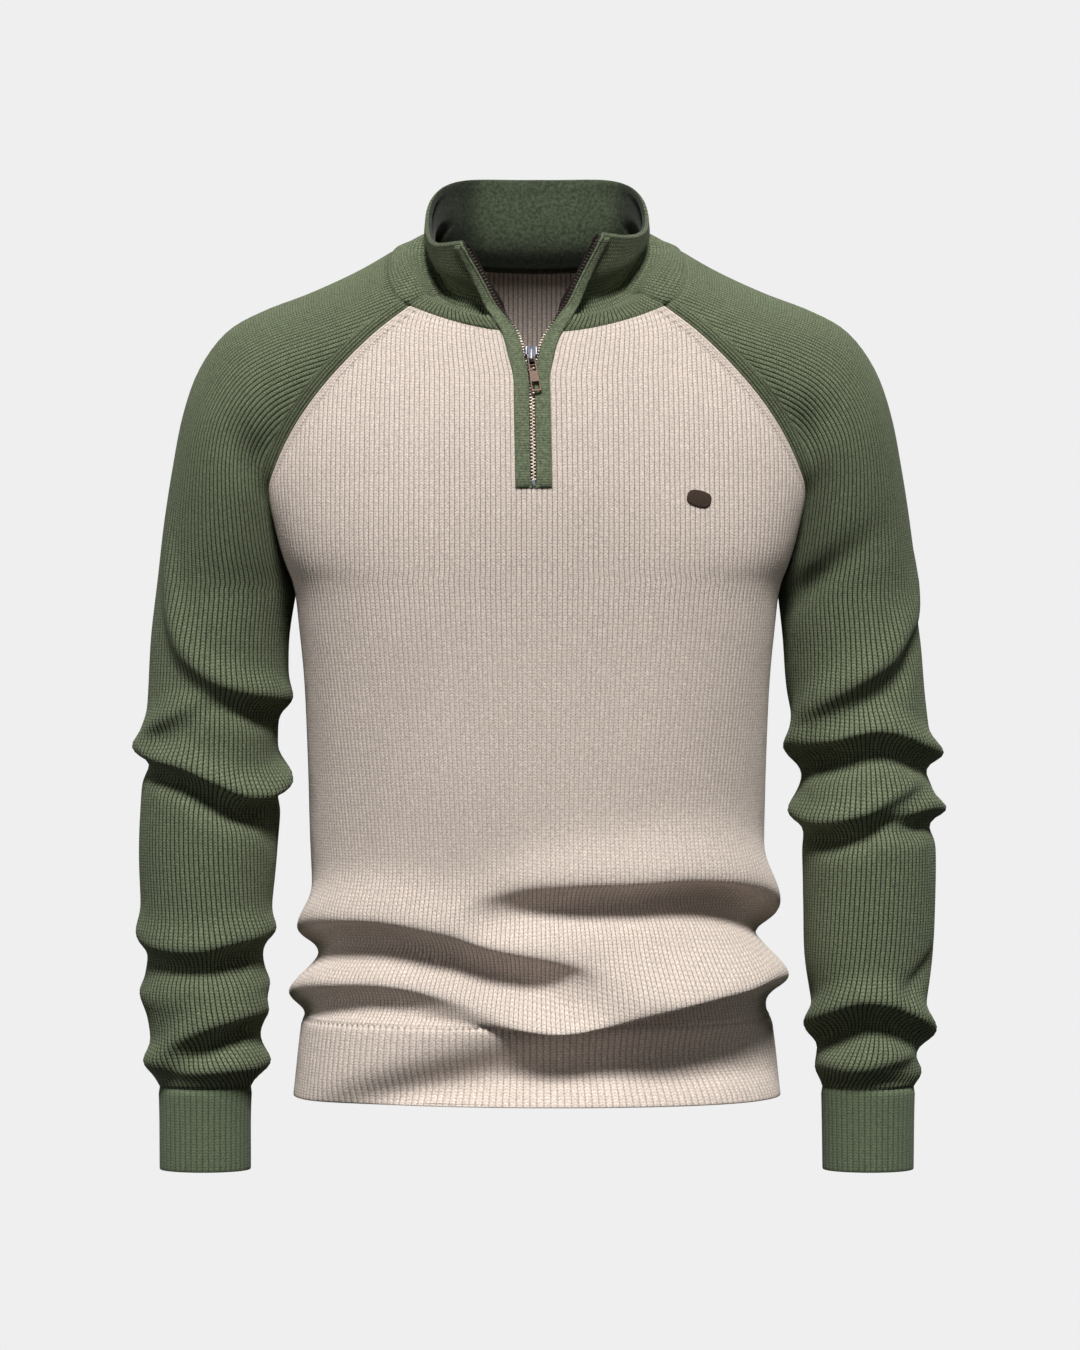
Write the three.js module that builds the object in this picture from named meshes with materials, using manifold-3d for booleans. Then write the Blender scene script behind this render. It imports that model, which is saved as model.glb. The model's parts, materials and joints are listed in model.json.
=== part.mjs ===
// A quarter zip raglan sweater, hollow as it is when worn, in millimetres.
// +X is to the right of someone facing the front, -Y is the front and +Z is up.
// The origin is the middle of the neck at shoulder height, where the wearer's shoulders carry the garment.
import * as THREE from "three";
import { mergeVertices } from "three/addons/utils/BufferGeometryUtils.js";
import Module from "manifold-3d";

const wasm = await Module();
wasm.setup();

// Driving sizes.
const clothThickness = 2.4;
const collarThickness = 3.4;
const seamGap = 0.3;
const underarmRow = 9;
const hemSeamZ = -566;
const hemZ = -624;
const cuffSeamZ = -617;
const cuffZ = -678.5;
const placketBottomZ = -174;
const placketWidth = 9.8;
const hemRibs = 96;
const cuffRibs = 44;
const ribDepth = 0.8;
const bodyRoundness = 2.3;

// Body from the hem to the neck: half width to the side seam, and the depth of the front and the back at the centre.
const bodySections = tableFrom(
  ["z", "half", "front", "back"],
  [
    [-623, 182.5, 118, 110],
    [-566, 176, 113, 104],
    [-530, 169, 109, 99],
    [-480, 168, 107, 95],
    [-430, 170, 108, 93],
    [-370, 171.5, 112, 95],
    [-310, 174, 118, 102],
    [-244, 180, 124, 111],
    [-200, 180, 125, 115],
    [-160, 180, 122, 116],
    [-120, 180, 113.5, 114],
    [-85, 180, 100, 108],
    [-50, 180, 80, 98],
    [-20, 180, 62, 84],
    [12, 180, 50, 62],
  ],
);

// Raglan rows from the neck to the underarm: the front seam, the top of the shoulder, the back seam, half the depth of
// the sleeve, and the heights of the row at the middle of the front and of the back.
const raglanRows = tableFrom(
  ["frontX", "frontY", "frontZ", "topX", "topZ", "backX", "backY", "backZ", "depth", "middleFrontZ", "middleBackZ"],
  [
    [93, -57, -36, 110, 2, 86, 50, 10, 61, -58.5, 3],
    [119, -68, -57, 137, -12.5, 114, 62, -10, 71, -68.5, -16],
    [144, -74, -82, 172, -26.5, 142, 70, -40, 78, -91.5, -44],
    [165, -76, -107, 206, -38, 164, 74, -72, 81, -113, -75],
    [182, -74, -133, 233, -53, 181, 74, -104, 82, -137, -106],
    [194, -68, -159, 253, -80, 192, 68, -136, 80, -161, -137],
    [198, -58, -176, 265, -114, 196, 57, -163, 76, -177, -164],
    [194, -37, -200, 273, -155, 193, 37, -195, 71, -200, -195],
    [187, -15, -227, 280, -200, 187, 15, -225, 65, -227, -225],
    [180, 0, -244, 285, -246, 180, 0, -244, 61, -244, -244],
  ],
);

// Sleeve sections below the underarm: distance of the outer and the inner edge from the middle, and the front and the back.
const leftSleeveSections = tableFrom(
  ["z", "outer", "inner", "front", "back"],
  [
    [-244, 285, 180, -61, 61],
    [-280, 289, 185.5, -62, 58],
    [-320, 291, 187, -62, 54],
    [-360, 293, 194, -62, 50],
    [-400, 296, 191.5, -62, 46],
    [-440, 297.5, 194, -62, 42],
    [-480, 296, 198, -61, 39],
    [-520, 293, 203, -60, 36],
    [-560, 291, 205, -58, 33],
    [-600, 285.5, 207, -53, 25],
    [-617, 282.5, 212.5, -46, 14],
    [-680, 281.5, 213.5, -44, 10],
  ],
);
const rightSleeveSections = tableFrom(
  ["z", "outer", "inner", "front", "back"],
  [
    [-244, 283, 180, -61, 61],
    [-280, 287, 184, -62, 58],
    [-320, 290, 187, -62, 54],
    [-360, 294, 194.5, -62, 50],
    [-400, 296, 194.5, -62, 46],
    [-440, 298, 198, -62, 42],
    [-480, 297.5, 199, -61, 39],
    [-520, 295.5, 200, -60, 36],
    [-560, 290, 206, -58, 33],
    [-600, 284.5, 211, -53, 25],
    [-617, 282.2, 212, -46, 14],
    [-680, 281, 213, -44, 10],
  ],
);

// Largest folds. Angles run from `from` to `to`: on the body 0 is the front and 90 the right side, and on a sleeve
// 0 is the front and 90 the outer side. The ridge passes the three heights z0, z1 and z2, stands out by `rise`, is
// `above` and `below` millimetres wide, has a hollow under it and droops over that hollow.
const bodyFolds = tableFrom(
  ["from", "to", "z0", "z1", "z2", "rise", "above", "below", "hollow", "droop"],
  [
    [-142, 34, -538, -484, -548, 10, 22, 9, 8, 0.6],
    [-20, 142, -476, -452, -550, 14, 25, 9, 9, 0.6],
    [-12, 142, -561, -538, -506, 18, 17, 11, 3, 0.7],
    [-140, -8, -552, -538, -545, 15, 12, 11, 4, 0.6],
    [116, 262, -512, -474, -500, 10, 22, 9, 6, 0.6],
    [112, 214, -530, -541, -548, 10, 14, 8, 4, 0.8],
    [188, 250, -520, -534, -546, 9, 12, 8, 4, 0.6],
  ],
);
const leftSleeveFolds = tableFrom(
  ["from", "to", "z0", "z1", "z2", "rise", "above", "below", "hollow", "droop"],
  [
    [22, -48, -124, -146, -172, -6, 10, 10, 0, 0],
    [78, -98, -240, -317, -329, 7, 15, 9, 4, 0.4],
    [108, -12, -353, -341, -331, 6, 11, 8, 5, 0.4],
    [150, -150, -340, -379, -372, 11, 10, 8, 6, 0.5],
    [10, -104, -414, -418, -410, -4, 12, 12, 0, 0],
    [124, -124, -503, -513, -499, 7, 12, 8, 6, 0.5],
    [136, 40, -546, -548, -552, 4, 9, 9, 0, 0],
    [-40, -136, -540, -542, -542, 4, 8, 8, 0, 0],
    [84, -104, -587, -562, -574, 6, 10, 8, 6, 0.5],
    [180, -180, -604, -601, -596, 7, 10, 8, 0, 0.6],
    [120, 250, -352, -372, -366, 6, 12, 9, 4, 0.4],
    [118, 252, -503, -520, -502, 6, 12, 9, 4, 0.4],
    [130, 246, -580, -568, -578, 5, 10, 8, 3, 0.4],
  ],
);
const rightSleeveFolds = tableFrom(
  ["from", "to", "z0", "z1", "z2", "rise", "above", "below", "hollow", "droop"],
  [
    [24, -48, -104, -132, -168, -7, 10, 10, 0, 0],
    [84, -92, -190, -222, -262, -5, 11, 11, 0, 0],
    [88, -88, -235, -307, -360, 8, 15, 10, 4, 0.4],
    [150, -150, -394, -350, -384, 13, 10, 10, 8, 0.5],
    [150, -150, -394, -412, -410, 11, 9, 8, 7, 0.5],
    [60, -76, -495, -548, -580, 4, 13, 10, 2, 0.3],
    [78, 14, -536, -538, -534, -4, 8, 8, 0, 0],
    [150, -150, -596, -566, -590, 12, 9, 8, 6, 0.4],
    [60, -150, -600, -603, -604, 5, 8, 7, 0, 0.4],
    [116, 248, -372, -358, -374, 6, 12, 9, 4, 0.4],
    [120, 250, -410, -424, -416, 5, 12, 9, 3, 0.4],
    [126, 244, -584, -572, -584, 6, 10, 8, 3, 0.4],
  ],
);

// Opening of the zip: the middle and half of the gap between the placket edges at each height.
const zipOpening = tableFrom(
  ["z", "middle", "half"],
  [
    [-180, -2.2, 2.1],
    [-105, -3.6, 2.1],
    [-91.5, -4.0, 2.1],
    [-79, -4.2, 5.2],
    [-68.5, -4.2, 7.7],
    [-58.5, -3.6, 11.4],
  ],
);

// Collar levels above the neck seam: share of the height at the back and at the front, half width, depth of the back and
// of the front, and half of the opening.
const collarLevels = tableFrom(
  ["height", "frontHeight", "half", "back", "front", "opening"],
  [
    [0.2, 0.12, 99, 61.5, 82, 17.5],
    [0.4, 0.28, 87.5, 60, 76.5, 24],
    [0.7, 0.62, 85, 62, 79, 36],
    [1, 1, 84, 66, 92, 50],
  ],
);
// Height of the collar's top edge by the angle from the middle of the back.
const collarTop = tableFrom(
  ["angle", "z"],
  [
    [0, 69.5],
    [35, 68.5],
    [55, 62.5],
    [70, 53],
    [84, 40],
    [104, 19],
    [122, 9],
    [150, 8],
  ],
);
const collarRightLift = 6;
const collarSquareness = 0.85;

// Rows and columns of the faceted walls.
const bodyRowZ = [
  -566, -557, -549, -541, -533, -525, -517, -509, -501, -492, -483, -475, -467, -458, -446, -430, -406, -374, -338,
  -304, -272, -244,
];
const sleeveRowZ = [
  -244, -264, -286, -304, -318, -330, -341, -351, -360, -369, -378, -387, -396, -405, -415, -428, -448, -470, -487,
  -498, -508, -518, -529, -541, -553, -563, -573, -583, -592, -601, -609, -617,
];
const yokeRowK = [8.55, 8, 7, 6, 5, 4, 3, 2, 1, 0];
const frontSideColumns = 12;
const backColumns = 18;
const sleeveColumns = 14;

const rad = THREE.MathUtils.degToRad;
const mix = THREE.MathUtils.lerp;

function tableFrom(columns, rows) {
  return rows.map((row) => Object.fromEntries(columns.map((name, i) => [name, row[i]])));
}

// Smooth curve through a table's rows: the value of `column` where `key` has the given value.
function readTable(table, key, value, column) {
  const last = table.length - 1;
  const rising = table[last][key] > table[0][key];
  let i = 0;
  while (i < last - 1 && (rising ? value > table[i + 1][key] : value < table[i + 1][key])) i++;
  const slope = (j) => {
    const a = table[Math.max(j - 1, 0)];
    const b = table[Math.min(j + 1, last)];
    return (b[column] - a[column]) / (b[key] - a[key]);
  };
  const low = table[i];
  const high = table[i + 1];
  const span = high[key] - low[key];
  const t = THREE.MathUtils.clamp((value - low[key]) / span, 0, 1);
  return (
    low[column] * (1 + 2 * t) * (1 - t) ** 2 +
    slope(i) * span * t * (1 - t) ** 2 +
    high[column] * t * t * (3 - 2 * t) +
    slope(i + 1) * span * t * t * (t - 1)
  );
}

// How far the folds push the cloth out at an angle and a height, and how far they let it droop.
function foldShift(folds, angle, z) {
  let out = 0;
  let down = 0;
  for (const fold of folds) {
    for (const turn of [-360, 0, 360]) {
      const along = (angle + turn - fold.from) / (fold.to - fold.from);
      if (along <= 0 || along >= 1) continue;
      const ridge =
        fold.z0 * (1 - along) * (1 - 2 * along) + fold.z1 * 4 * along * (1 - along) + fold.z2 * along * (2 * along - 1);
      const fade = (1 - (2 * along - 1) ** 4) ** 2;
      const s = z - ridge;
      const crest = Math.exp(-((s / (s > 0 ? fold.above : fold.below)) ** 2));
      const hollow = Math.exp(-(((s + 2.1 * fold.below) / (1.2 * fold.below)) ** 2));
      const height = fade * (fold.rise * crest - fold.hollow * hollow);
      out += height;
      down += fold.droop * Math.max(height, 0);
    }
  }
  return { out, down };
}

// Point of the body. `side` is -1 on the front and 1 on the back, and `across` is x as a share of the half width.
function bodyPoint(side, across, row) {
  const x = across * row.half;
  const t = Math.min(Math.abs(across), 1);
  const z = row.centreZ + (row.z - row.centreZ) * t * t;
  const y = side * (row.edge + (row.centre - row.edge) * (1 - t ** bodyRoundness) ** row.sharp);
  const point = new THREE.Vector3(x, y, z);
  const angle = THREE.MathUtils.radToDeg(Math.atan2(x / row.half, -y / row.centre));
  const { out, down } = foldShift(bodyFolds, angle, z);
  const ease = THREE.MathUtils.smoothstep(z, hemSeamZ, hemSeamZ + 7);
  const outward = new THREE.Vector3(x / row.half ** 2, y / row.centre ** 2, 0).normalize();
  point.addScaledVector(outward, out * ease);
  point.z -= down * ease;
  return point;
}

// Row of the body below the underarm.
function bodyRow(side, z) {
  return {
    z,
    centreZ: z,
    half: readTable(bodySections, "z", z, "half"),
    edge: 0,
    centre: readTable(bodySections, "z", z, side < 0 ? "front" : "back"),
    sharp: 1 / bodyRoundness,
  };
}

// Row of the body between the raglan seams, numbered from 0 at the neck to 9 at the underarm.
function yokeRow(side, k) {
  const name = side < 0 ? "front" : "back";
  const up = (underarmRow - k) / underarmRow;
  const z = readRaglan(k, name + "Z");
  const centreZ = readRaglan(k, side < 0 ? "middleFrontZ" : "middleBackZ");
  return {
    z,
    centreZ,
    half: readRaglan(k, name + "X"),
    edge: Math.abs(readRaglan(k, name + "Y")),
    centre: readTable(bodySections, "z", centreZ, name),
    sharp: mix(1 / bodyRoundness, 0.9, up * up * (3 - 2 * up)),
  };
}

const numberedRows = raglanRows.map((row, k) => ({ k, ...row }));
function readRaglan(k, column) {
  return readTable(numberedRows, "k", k, column);
}

// Point of a sleeve. `side` is -1 on the left and 1 on the right; `k` is a raglan row, or z a height below the underarm.
function sleeveRing(side, place) {
  const sections = side < 0 ? leftSleeveSections : rightSleeveSections;
  if (place.k !== undefined) {
    const read = (column) => readRaglan(place.k, column);
    const front = new THREE.Vector3(side * read("frontX"), read("frontY"), read("frontZ"));
    const back = new THREE.Vector3(side * read("backX"), read("backY"), read("backZ"));
    const middle = front.clone().add(back).multiplyScalar(0.5);
    const top = new THREE.Vector3(side * read("topX"), 0, read("topZ"));
    const depth = read("depth");
    const chord = front.distanceTo(back) / 2;
    const forward = chord > 1 ? front.sub(back).normalize() : new THREE.Vector3(0, -1, 0);
    const over = Math.sqrt(Math.max(0, 1 - (chord / depth) ** 2));
    return { middle, top, forward, depth, over };
  }
  const read = (column) => readTable(sections, "z", place.z, column);
  const y = (read("front") + read("back")) / 2;
  return {
    middle: new THREE.Vector3(side * read("inner"), y, place.z),
    top: new THREE.Vector3(side * read("outer"), y, place.z),
    forward: new THREE.Vector3(0, -1, 0),
    depth: (read("back") - read("front")) / 2,
    over: 1,
  };
}

function sleevePoint(side, ring, along) {
  const start = -Math.asin(ring.over);
  const turn = mix(start, Math.PI - start, along);
  const reach = ring.top.clone().sub(ring.middle);
  const centre = ring.middle.clone().addScaledVector(reach, ring.over / (1 + ring.over));
  const point = ring.middle
    .clone()
    .addScaledVector(reach, (Math.sin(turn) + ring.over) / (1 + ring.over))
    .addScaledVector(ring.forward, ring.depth * Math.cos(turn));
  const folds = side < 0 ? leftSleeveFolds : rightSleeveFolds;
  const { out, down } = foldShift(folds, THREE.MathUtils.radToDeg(turn), point.z);
  const ease =
    THREE.MathUtils.smoothstep(point.z, cuffSeamZ, cuffSeamZ + 7) *
    (1 - ring.over ** 2 > 0.001 ? THREE.MathUtils.smoothstep(Math.min(along, 1 - along), 0, 0.08) : 1);
  point.addScaledVector(point.clone().sub(centre).normalize(), out * ease);
  point.z -= down * ease;
  return point;
}

// A cloth panel: a list of points and the quads between them, seen from outside with the corners turning left.
function makePanel() {
  return { points: [], quads: [] };
}

function addGrid(panel, rows, keep = () => true) {
  for (let r = 0; r + 1 < rows.length; r++) {
    for (let c = 0; c + 1 < rows[r].length; c++) {
      if (!keep(r, c)) continue;
      const quad = [rows[r][c], rows[r][c + 1], rows[r + 1][c + 1], rows[r + 1][c]];
      panel.quads.push(quad.filter((index, i) => index !== quad[(i + 3) % 4]));
    }
  }
}

function addPoint(panel, point) {
  panel.points.push(point);
  return panel.points.length - 1;
}

function trianglesOf(quads) {
  return quads.flatMap((q) => (q.length === 4 ? [[q[0], q[1], q[2]], [q[0], q[2], q[3]]] : [q]));
}

const placeKey = (p) => [p.x, p.y, p.z].map((v) => Math.round(v * 100)).join();

// Sum of the face normals at each place, over all panels, so that two panels share one normal along their seam.
function sharedNormals(panels) {
  const sums = new Map();
  for (const panel of panels) {
    for (const [a, b, c] of trianglesOf(panel.quads)) {
      const [p, q, s] = [panel.points[a], panel.points[b], panel.points[c]];
      const face = q.clone().sub(p).cross(s.clone().sub(p));
      for (const corner of [p, q, s]) {
        const key = placeKey(corner);
        sums.set(key, (sums.get(key) ?? new THREE.Vector3()).add(face));
      }
    }
  }
  return (point) => {
    const normal = sums.get(placeKey(point)).clone();
    if (point.z === hemSeamZ || point.z === cuffSeamZ) normal.z = 0;
    return normal.normalize();
  };
}

function borderEdges(triangles) {
  const edges = new Map();
  for (const [a, b, c] of triangles) {
    for (const [from, to] of [[a, b], [b, c], [c, a]]) {
      if (!edges.delete(to + "_" + from)) edges.set(from + "_" + to, [from, to]);
    }
  }
  return [...edges.values()];
}

// Moves the panel's border in by half of the seam gap, square to the seam.
function insetBorder(panel, normals, border) {
  const inward = new Map();
  for (const [from, to] of border) {
    const along = panel.points[to].clone().sub(panel.points[from]).normalize();
    for (const index of [from, to]) {
      const side = normals[index].clone().cross(along).normalize();
      inward.set(index, [...(inward.get(index) ?? []), side]);
    }
  }
  return panel.points.map((point, index) => {
    const sides = inward.get(index);
    if (!sides) return point;
    const sum = sides.reduce((total, side) => total.clone().add(side));
    const mitre = seamGap / 2 / Math.max(0.35, 1 + sides[0].dot(sides[sides.length - 1]));
    return point.clone().addScaledVector(sum, mitre);
  });
}

function geometryFrom(points, triangles) {
  const geometry = new THREE.BufferGeometry();
  geometry.setAttribute("position", new THREE.Float32BufferAttribute(points.flatMap((p) => [p.x, p.y, p.z]), 3));
  geometry.setIndex(triangles.flat());
  return geometry;
}

// A wall of cloth on a panel: `outward` and `inward` are the distances of its two faces from the panel.
function clothWall(panel, normalAt, outward, inward) {
  const triangles = trianglesOf(panel.quads);
  const border = borderEdges(triangles);
  const normals = panel.points.map(normalAt);
  const middle = insetBorder(panel, normals, border);
  const count = middle.length;
  const points = [
    ...middle.map((p, i) => p.clone().addScaledVector(normals[i], outward)),
    ...middle.map((p, i) => p.clone().addScaledVector(normals[i], -inward)),
  ];
  const faces = [
    ...triangles,
    ...triangles.map(([a, b, c]) => [a + count, c + count, b + count]),
    ...border.flatMap(([a, b]) =>
      panel.points[a].z > panel.points[b].z
        ? [[b, a, a + count], [b, a + count, b + count]]
        : [[b, a, b + count], [a, a + count, b + count]],
    ),
  ];
  return geometryFrom(points, faces);
}

// Front and back panels.
const placketOverhang = 1.4;
function slitEdge(z, sign) {
  const half = readTable(zipOpening, "z", z, "half") + placketOverhang;
  return readTable(zipOpening, "z", z, "middle") + sign * half;
}

function frontPanel() {
  const panel = makePanel();
  const rows = [...bodyRowZ.map((z) => bodyRow(-1, z))];
  for (const k of yokeRowK) rows.push(yokeRow(-1, k));
  const slitRow = rows.findIndex((row) => row.centreZ > placketBottomZ);
  rows[slitRow - 1].centreZ = placketBottomZ;
  const grid = rows.map((row, r) => {
    const side = (sign) => {
      const start = slitEdge(row.centreZ, sign);
      const edge = start + sign * placketWidth;
      const across = [start, edge];
      const first = Math.asin(Math.abs(edge) / row.half);
      for (let c = 2; c <= frontSideColumns; c++) {
        const turn = mix(first, Math.PI / 2, (c - 1) / (frontSideColumns - 1));
        across.push(sign * row.half * Math.sin(turn));
      }
      return across.map((x) => addPoint(panel, bodyPoint(-1, x / row.half, row)));
    };
    return [...side(-1).reverse(), ...side(1)];
  });
  addGrid(panel, grid, (r, c) => !(r >= slitRow - 1 && c === frontSideColumns));
  const top = grid[grid.length - 1].map((index) => panel.points[index]);
  return { panel, grid, rows, slitRow, top };
}

function backPanel() {
  const panel = makePanel();
  const rows = [...bodyRowZ.map((z) => bodyRow(1, z))];
  for (const k of yokeRowK) rows.push(yokeRow(1, k));
  const grid = rows.map((row) => {
    const indices = [];
    for (let c = 0; c <= backColumns; c++) {
      const across = Math.sin(mix(Math.PI / 2, -Math.PI / 2, c / backColumns));
      indices.push(addPoint(panel, bodyPoint(1, across, row)));
    }
    return indices;
  });
  addGrid(panel, grid);
  return { panel, top: grid[grid.length - 1].map((index) => panel.points[index]) };
}

// A sleeve: open from the neck to the underarm, where its edges meet, and a tube below.
function sleevePanel(side) {
  const panel = makePanel();
  const grid = [];
  for (const k of [...yokeRowK].reverse()) {
    const ring = sleeveRing(side, { k });
    const indices = [];
    for (let c = 0; c <= sleeveColumns; c++) {
      indices.push(addPoint(panel, sleevePoint(side, ring, c / sleeveColumns)));
    }
    grid.push(indices);
  }
  for (const z of sleeveRowZ) {
    const ring = sleeveRing(side, { z });
    const indices = [];
    for (let c = 0; c < sleeveColumns; c++) {
      indices.push(addPoint(panel, sleevePoint(side, ring, c / sleeveColumns)));
    }
    grid.push([...indices, indices[0]]);
  }
  const ordered = side < 0 ? grid.map((row) => [...row].reverse()).reverse() : [...grid].reverse();
  addGrid(panel, ordered);
  return { panel, top: grid[0].map((index) => panel.points[index]) };
}

// Collar: from the left edge of the zip round the back of the neck to the right edge.
function collarPanel(base) {
  const panel = makePanel();
  const bent = (value, power) => Math.sign(value) * Math.abs(value) ** power;
  const baseAngle = (p) => THREE.MathUtils.radToDeg(Math.atan2(p.x / 108, p.y / (p.y > 0 ? 62 : 84)));
  const lastAngle = Math.abs(baseAngle(base[0]));
  const grid = [base.map((point) => addPoint(panel, point))];
  for (const level of collarLevels) {
    const edgeSine = ((level.opening + 1.4) / level.half) ** (1 / collarSquareness);
    const levelEdge = 180 - THREE.MathUtils.radToDeg(Math.asin(edgeSine));
    grid.push(
      base.map((point) => {
        const raw = baseAngle(point);
        const size = Math.abs(raw);
        const turned = size < 90 ? size : mix(90, levelEdge, Math.min(1, (size - 90) / (lastAngle - 90)));
        const angle = rad(turned * Math.sign(raw));
        const depth = Math.cos(angle) > 0 ? level.back : level.front;
        const lift = raw > 0 ? collarRightLift * THREE.MathUtils.smoothstep(turned, 90, 125) : 0;
        const topZ = readTable(collarTop, "angle", Math.min(turned, 150), "z") + lift;
        const forward = THREE.MathUtils.smoothstep(turned, 90, 140);
        const shift = zipOpening.at(-1).middle * forward;
        return addPoint(
          panel,
          new THREE.Vector3(
            level.half * bent(Math.sin(angle), collarSquareness) + shift,
            depth * bent(Math.cos(angle), collarSquareness),
            mix(point.z, topZ, mix(level.height, level.frontHeight, forward)),
          ),
        );
      }),
    );
  }
  addGrid(panel, [...grid].reverse());
  return { panel, grid };
}

const front = frontPanel();
const back = backPanel();
const leftSleeve = sleevePanel(-1);
const rightSleeve = sleevePanel(1);
const half = front.top.length / 2;
const neckline = [
  ...front.top.slice(0, half).reverse(),
  ...leftSleeve.top.slice(1),
  ...[...back.top].reverse().slice(1),
  ...[...rightSleeve.top].reverse().slice(1),
  ...front.top.slice(half).reverse().slice(1),
];
const collar = collarPanel(neckline);
const bodyNormals = sharedNormals([front.panel, back.panel, leftSleeve.panel, rightSleeve.panel, collar.panel]);

const group = new THREE.Group();
const materials = {
  beigeKnit: new THREE.MeshStandardMaterial({ color: 0xcdbdae, roughness: 0.95 }),
  greenKnit: new THREE.MeshStandardMaterial({ color: 0x56624a, roughness: 0.95 }),
  zipTape: new THREE.MeshStandardMaterial({ color: 0x22261f, roughness: 0.9 }),
  zipMetal: new THREE.MeshStandardMaterial({ color: 0xb9b4ad, roughness: 0.3, metalness: 1 }),
  pullMetal: new THREE.MeshStandardMaterial({ color: 0x7d6658, roughness: 0.4, metalness: 1 }),
  patchThread: new THREE.MeshStandardMaterial({ color: 0x3a2d26, roughness: 0.8 }),
};

function addMesh(name, geometry, material, parent = group) {
  const mesh = new THREE.Mesh(geometry, material);
  mesh.name = name;
  parent.add(mesh);
  return mesh;
}

addMesh("front", clothWall(front.panel, bodyNormals, 0, clothThickness), materials.beigeKnit);
addMesh("back", clothWall(back.panel, bodyNormals, 0, clothThickness), materials.beigeKnit);
addMesh("sleeve_left", clothWall(leftSleeve.panel, bodyNormals, 0, clothThickness), materials.greenKnit);
addMesh("sleeve_right", clothWall(rightSleeve.panel, bodyNormals, 0, clothThickness), materials.greenKnit);
addMesh("collar", clothWall(collar.panel, bodyNormals, 0, collarThickness), materials.greenKnit);

// Points at equal distances along a section's outline.
function evenOutline(outlineAt, count, closed) {
  const samples = 720;
  const dense = Array.from({ length: samples + 1 }, (_, i) => outlineAt(i / samples));
  const lengths = [0];
  for (let i = 1; i <= samples; i++) lengths.push(lengths[i - 1] + dense[i].distanceTo(dense[i - 1]));
  const trim = closed ? 0 : seamGap / 2;
  const points = [];
  for (let i = 0, j = 0; i < (closed ? count : count + 1); i++) {
    const target = mix(trim, lengths[samples] - trim, i / count);
    while (j < samples - 1 && lengths[j + 1] < target) j++;
    points.push(dense[j].clone().lerp(dense[j + 1], (target - lengths[j]) / (lengths[j + 1] - lengths[j])));
  }
  return points;
}

// A ribbed band: the ribs are raised in the wall's outer points, over a plain inside with a point for every few ribs.
function ribbedBand(outlineAt, heights, ribs, plainEvery, closed) {
  const fine = ribs * 2;
  const points = [];
  const outer = [];
  const inner = [];
  for (const z of heights) {
    const line = evenOutline((t) => outlineAt(t, z), fine, closed);
    const ringAt = (i) => line[closed ? (i + fine) % fine : THREE.MathUtils.clamp(i, 0, fine)];
    const normalAt = (i) => {
      const along = ringAt(i + 1).clone().sub(ringAt(i - 1)).normalize();
      return new THREE.Vector3(along.y, -along.x, 0);
    };
    outer.push(
      line.map((p, i) => {
        const raised = i % 2 ? ribDepth / 2 : -ribDepth / 2;
        points.push(p.clone().addScaledVector(normalAt(i), raised));
        return points.length - 1;
      }),
    );
    inner.push(
      line
        .filter((_, i) => i % plainEvery === 0)
        .map((p, i) => {
          points.push(p.clone().addScaledVector(normalAt(i * plainEvery), -clothThickness));
          return points.length - 1;
        }),
    );
  }
  if (closed) [...outer, ...inner].forEach((row) => row.push(row[0]));
  const faces = [];
  const quad = (a, b, c, d) => faces.push([a, b, c], [a, c, d]);
  for (let r = 0; r + 1 < heights.length; r++) {
    for (let c = 0; c < fine; c++) quad(outer[r][c], outer[r][c + 1], outer[r + 1][c + 1], outer[r + 1][c]);
    for (let c = 0; c < fine / plainEvery; c++) {
      quad(inner[r][c + 1], inner[r][c], inner[r + 1][c], inner[r + 1][c + 1]);
    }
    if (closed) continue;
    quad(inner[r][0], outer[r][0], outer[r + 1][0], inner[r + 1][0]);
    const end = fine / plainEvery;
    quad(outer[r][fine], inner[r][end], inner[r + 1][end], outer[r + 1][fine]);
  }
  const rim = (outerRow, innerRow, flip) => {
    const add = (a, b, c) => faces.push(flip ? [a, c, b] : [a, b, c]);
    for (let c = 0; c < fine; c++) {
      const near = Math.floor((c + plainEvery / 2) / plainEvery);
      add(outerRow[c + 1], outerRow[c], innerRow[near]);
      if ((c + 1 + plainEvery / 2) % plainEvery === 0) add(outerRow[c + 1], innerRow[near], innerRow[near + 1]);
    }
  };
  rim(outer[0], inner[0], false);
  rim(outer[heights.length - 1], inner[heights.length - 1], true);
  return geometryFrom(points, faces);
}

// Hem band, one half on the front and one on the back, sewn at the side seams.
function hemOutline(side) {
  return (t, z) => {
    const row = bodyRow(side, z);
    const across = Math.sin(mix(Math.PI / 2, -Math.PI / 2, t)) * side;
    const y = side * row.centre * (1 - Math.abs(across) ** bodyRoundness) ** row.sharp;
    return new THREE.Vector3(across * row.half, y, z);
  };
}
const hemHeights = [hemZ, (hemZ + hemSeamZ) / 2, hemSeamZ - seamGap / 2];
addMesh("hem_front", ribbedBand(hemOutline(-1), hemHeights, hemRibs, 8, false), materials.beigeKnit);
addMesh("hem_back", ribbedBand(hemOutline(1), hemHeights, hemRibs, 8, false), materials.beigeKnit);

function cuffOutline(side) {
  return (t, z) => {
    const point = sleevePoint(side, sleeveRing(side, { z: Math.min(z, cuffSeamZ) }), side < 0 ? 1 - t : t);
    point.z = z;
    return point;
  };
}
const cuffHeights = [cuffZ, cuffSeamZ - seamGap / 2];
addMesh("cuff_left", ribbedBand(cuffOutline(-1), cuffHeights, cuffRibs, 4, true), materials.greenKnit);
addMesh("cuff_right", ribbedBand(cuffOutline(1), cuffHeights, cuffRibs, 4, true), materials.greenKnit);

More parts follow.
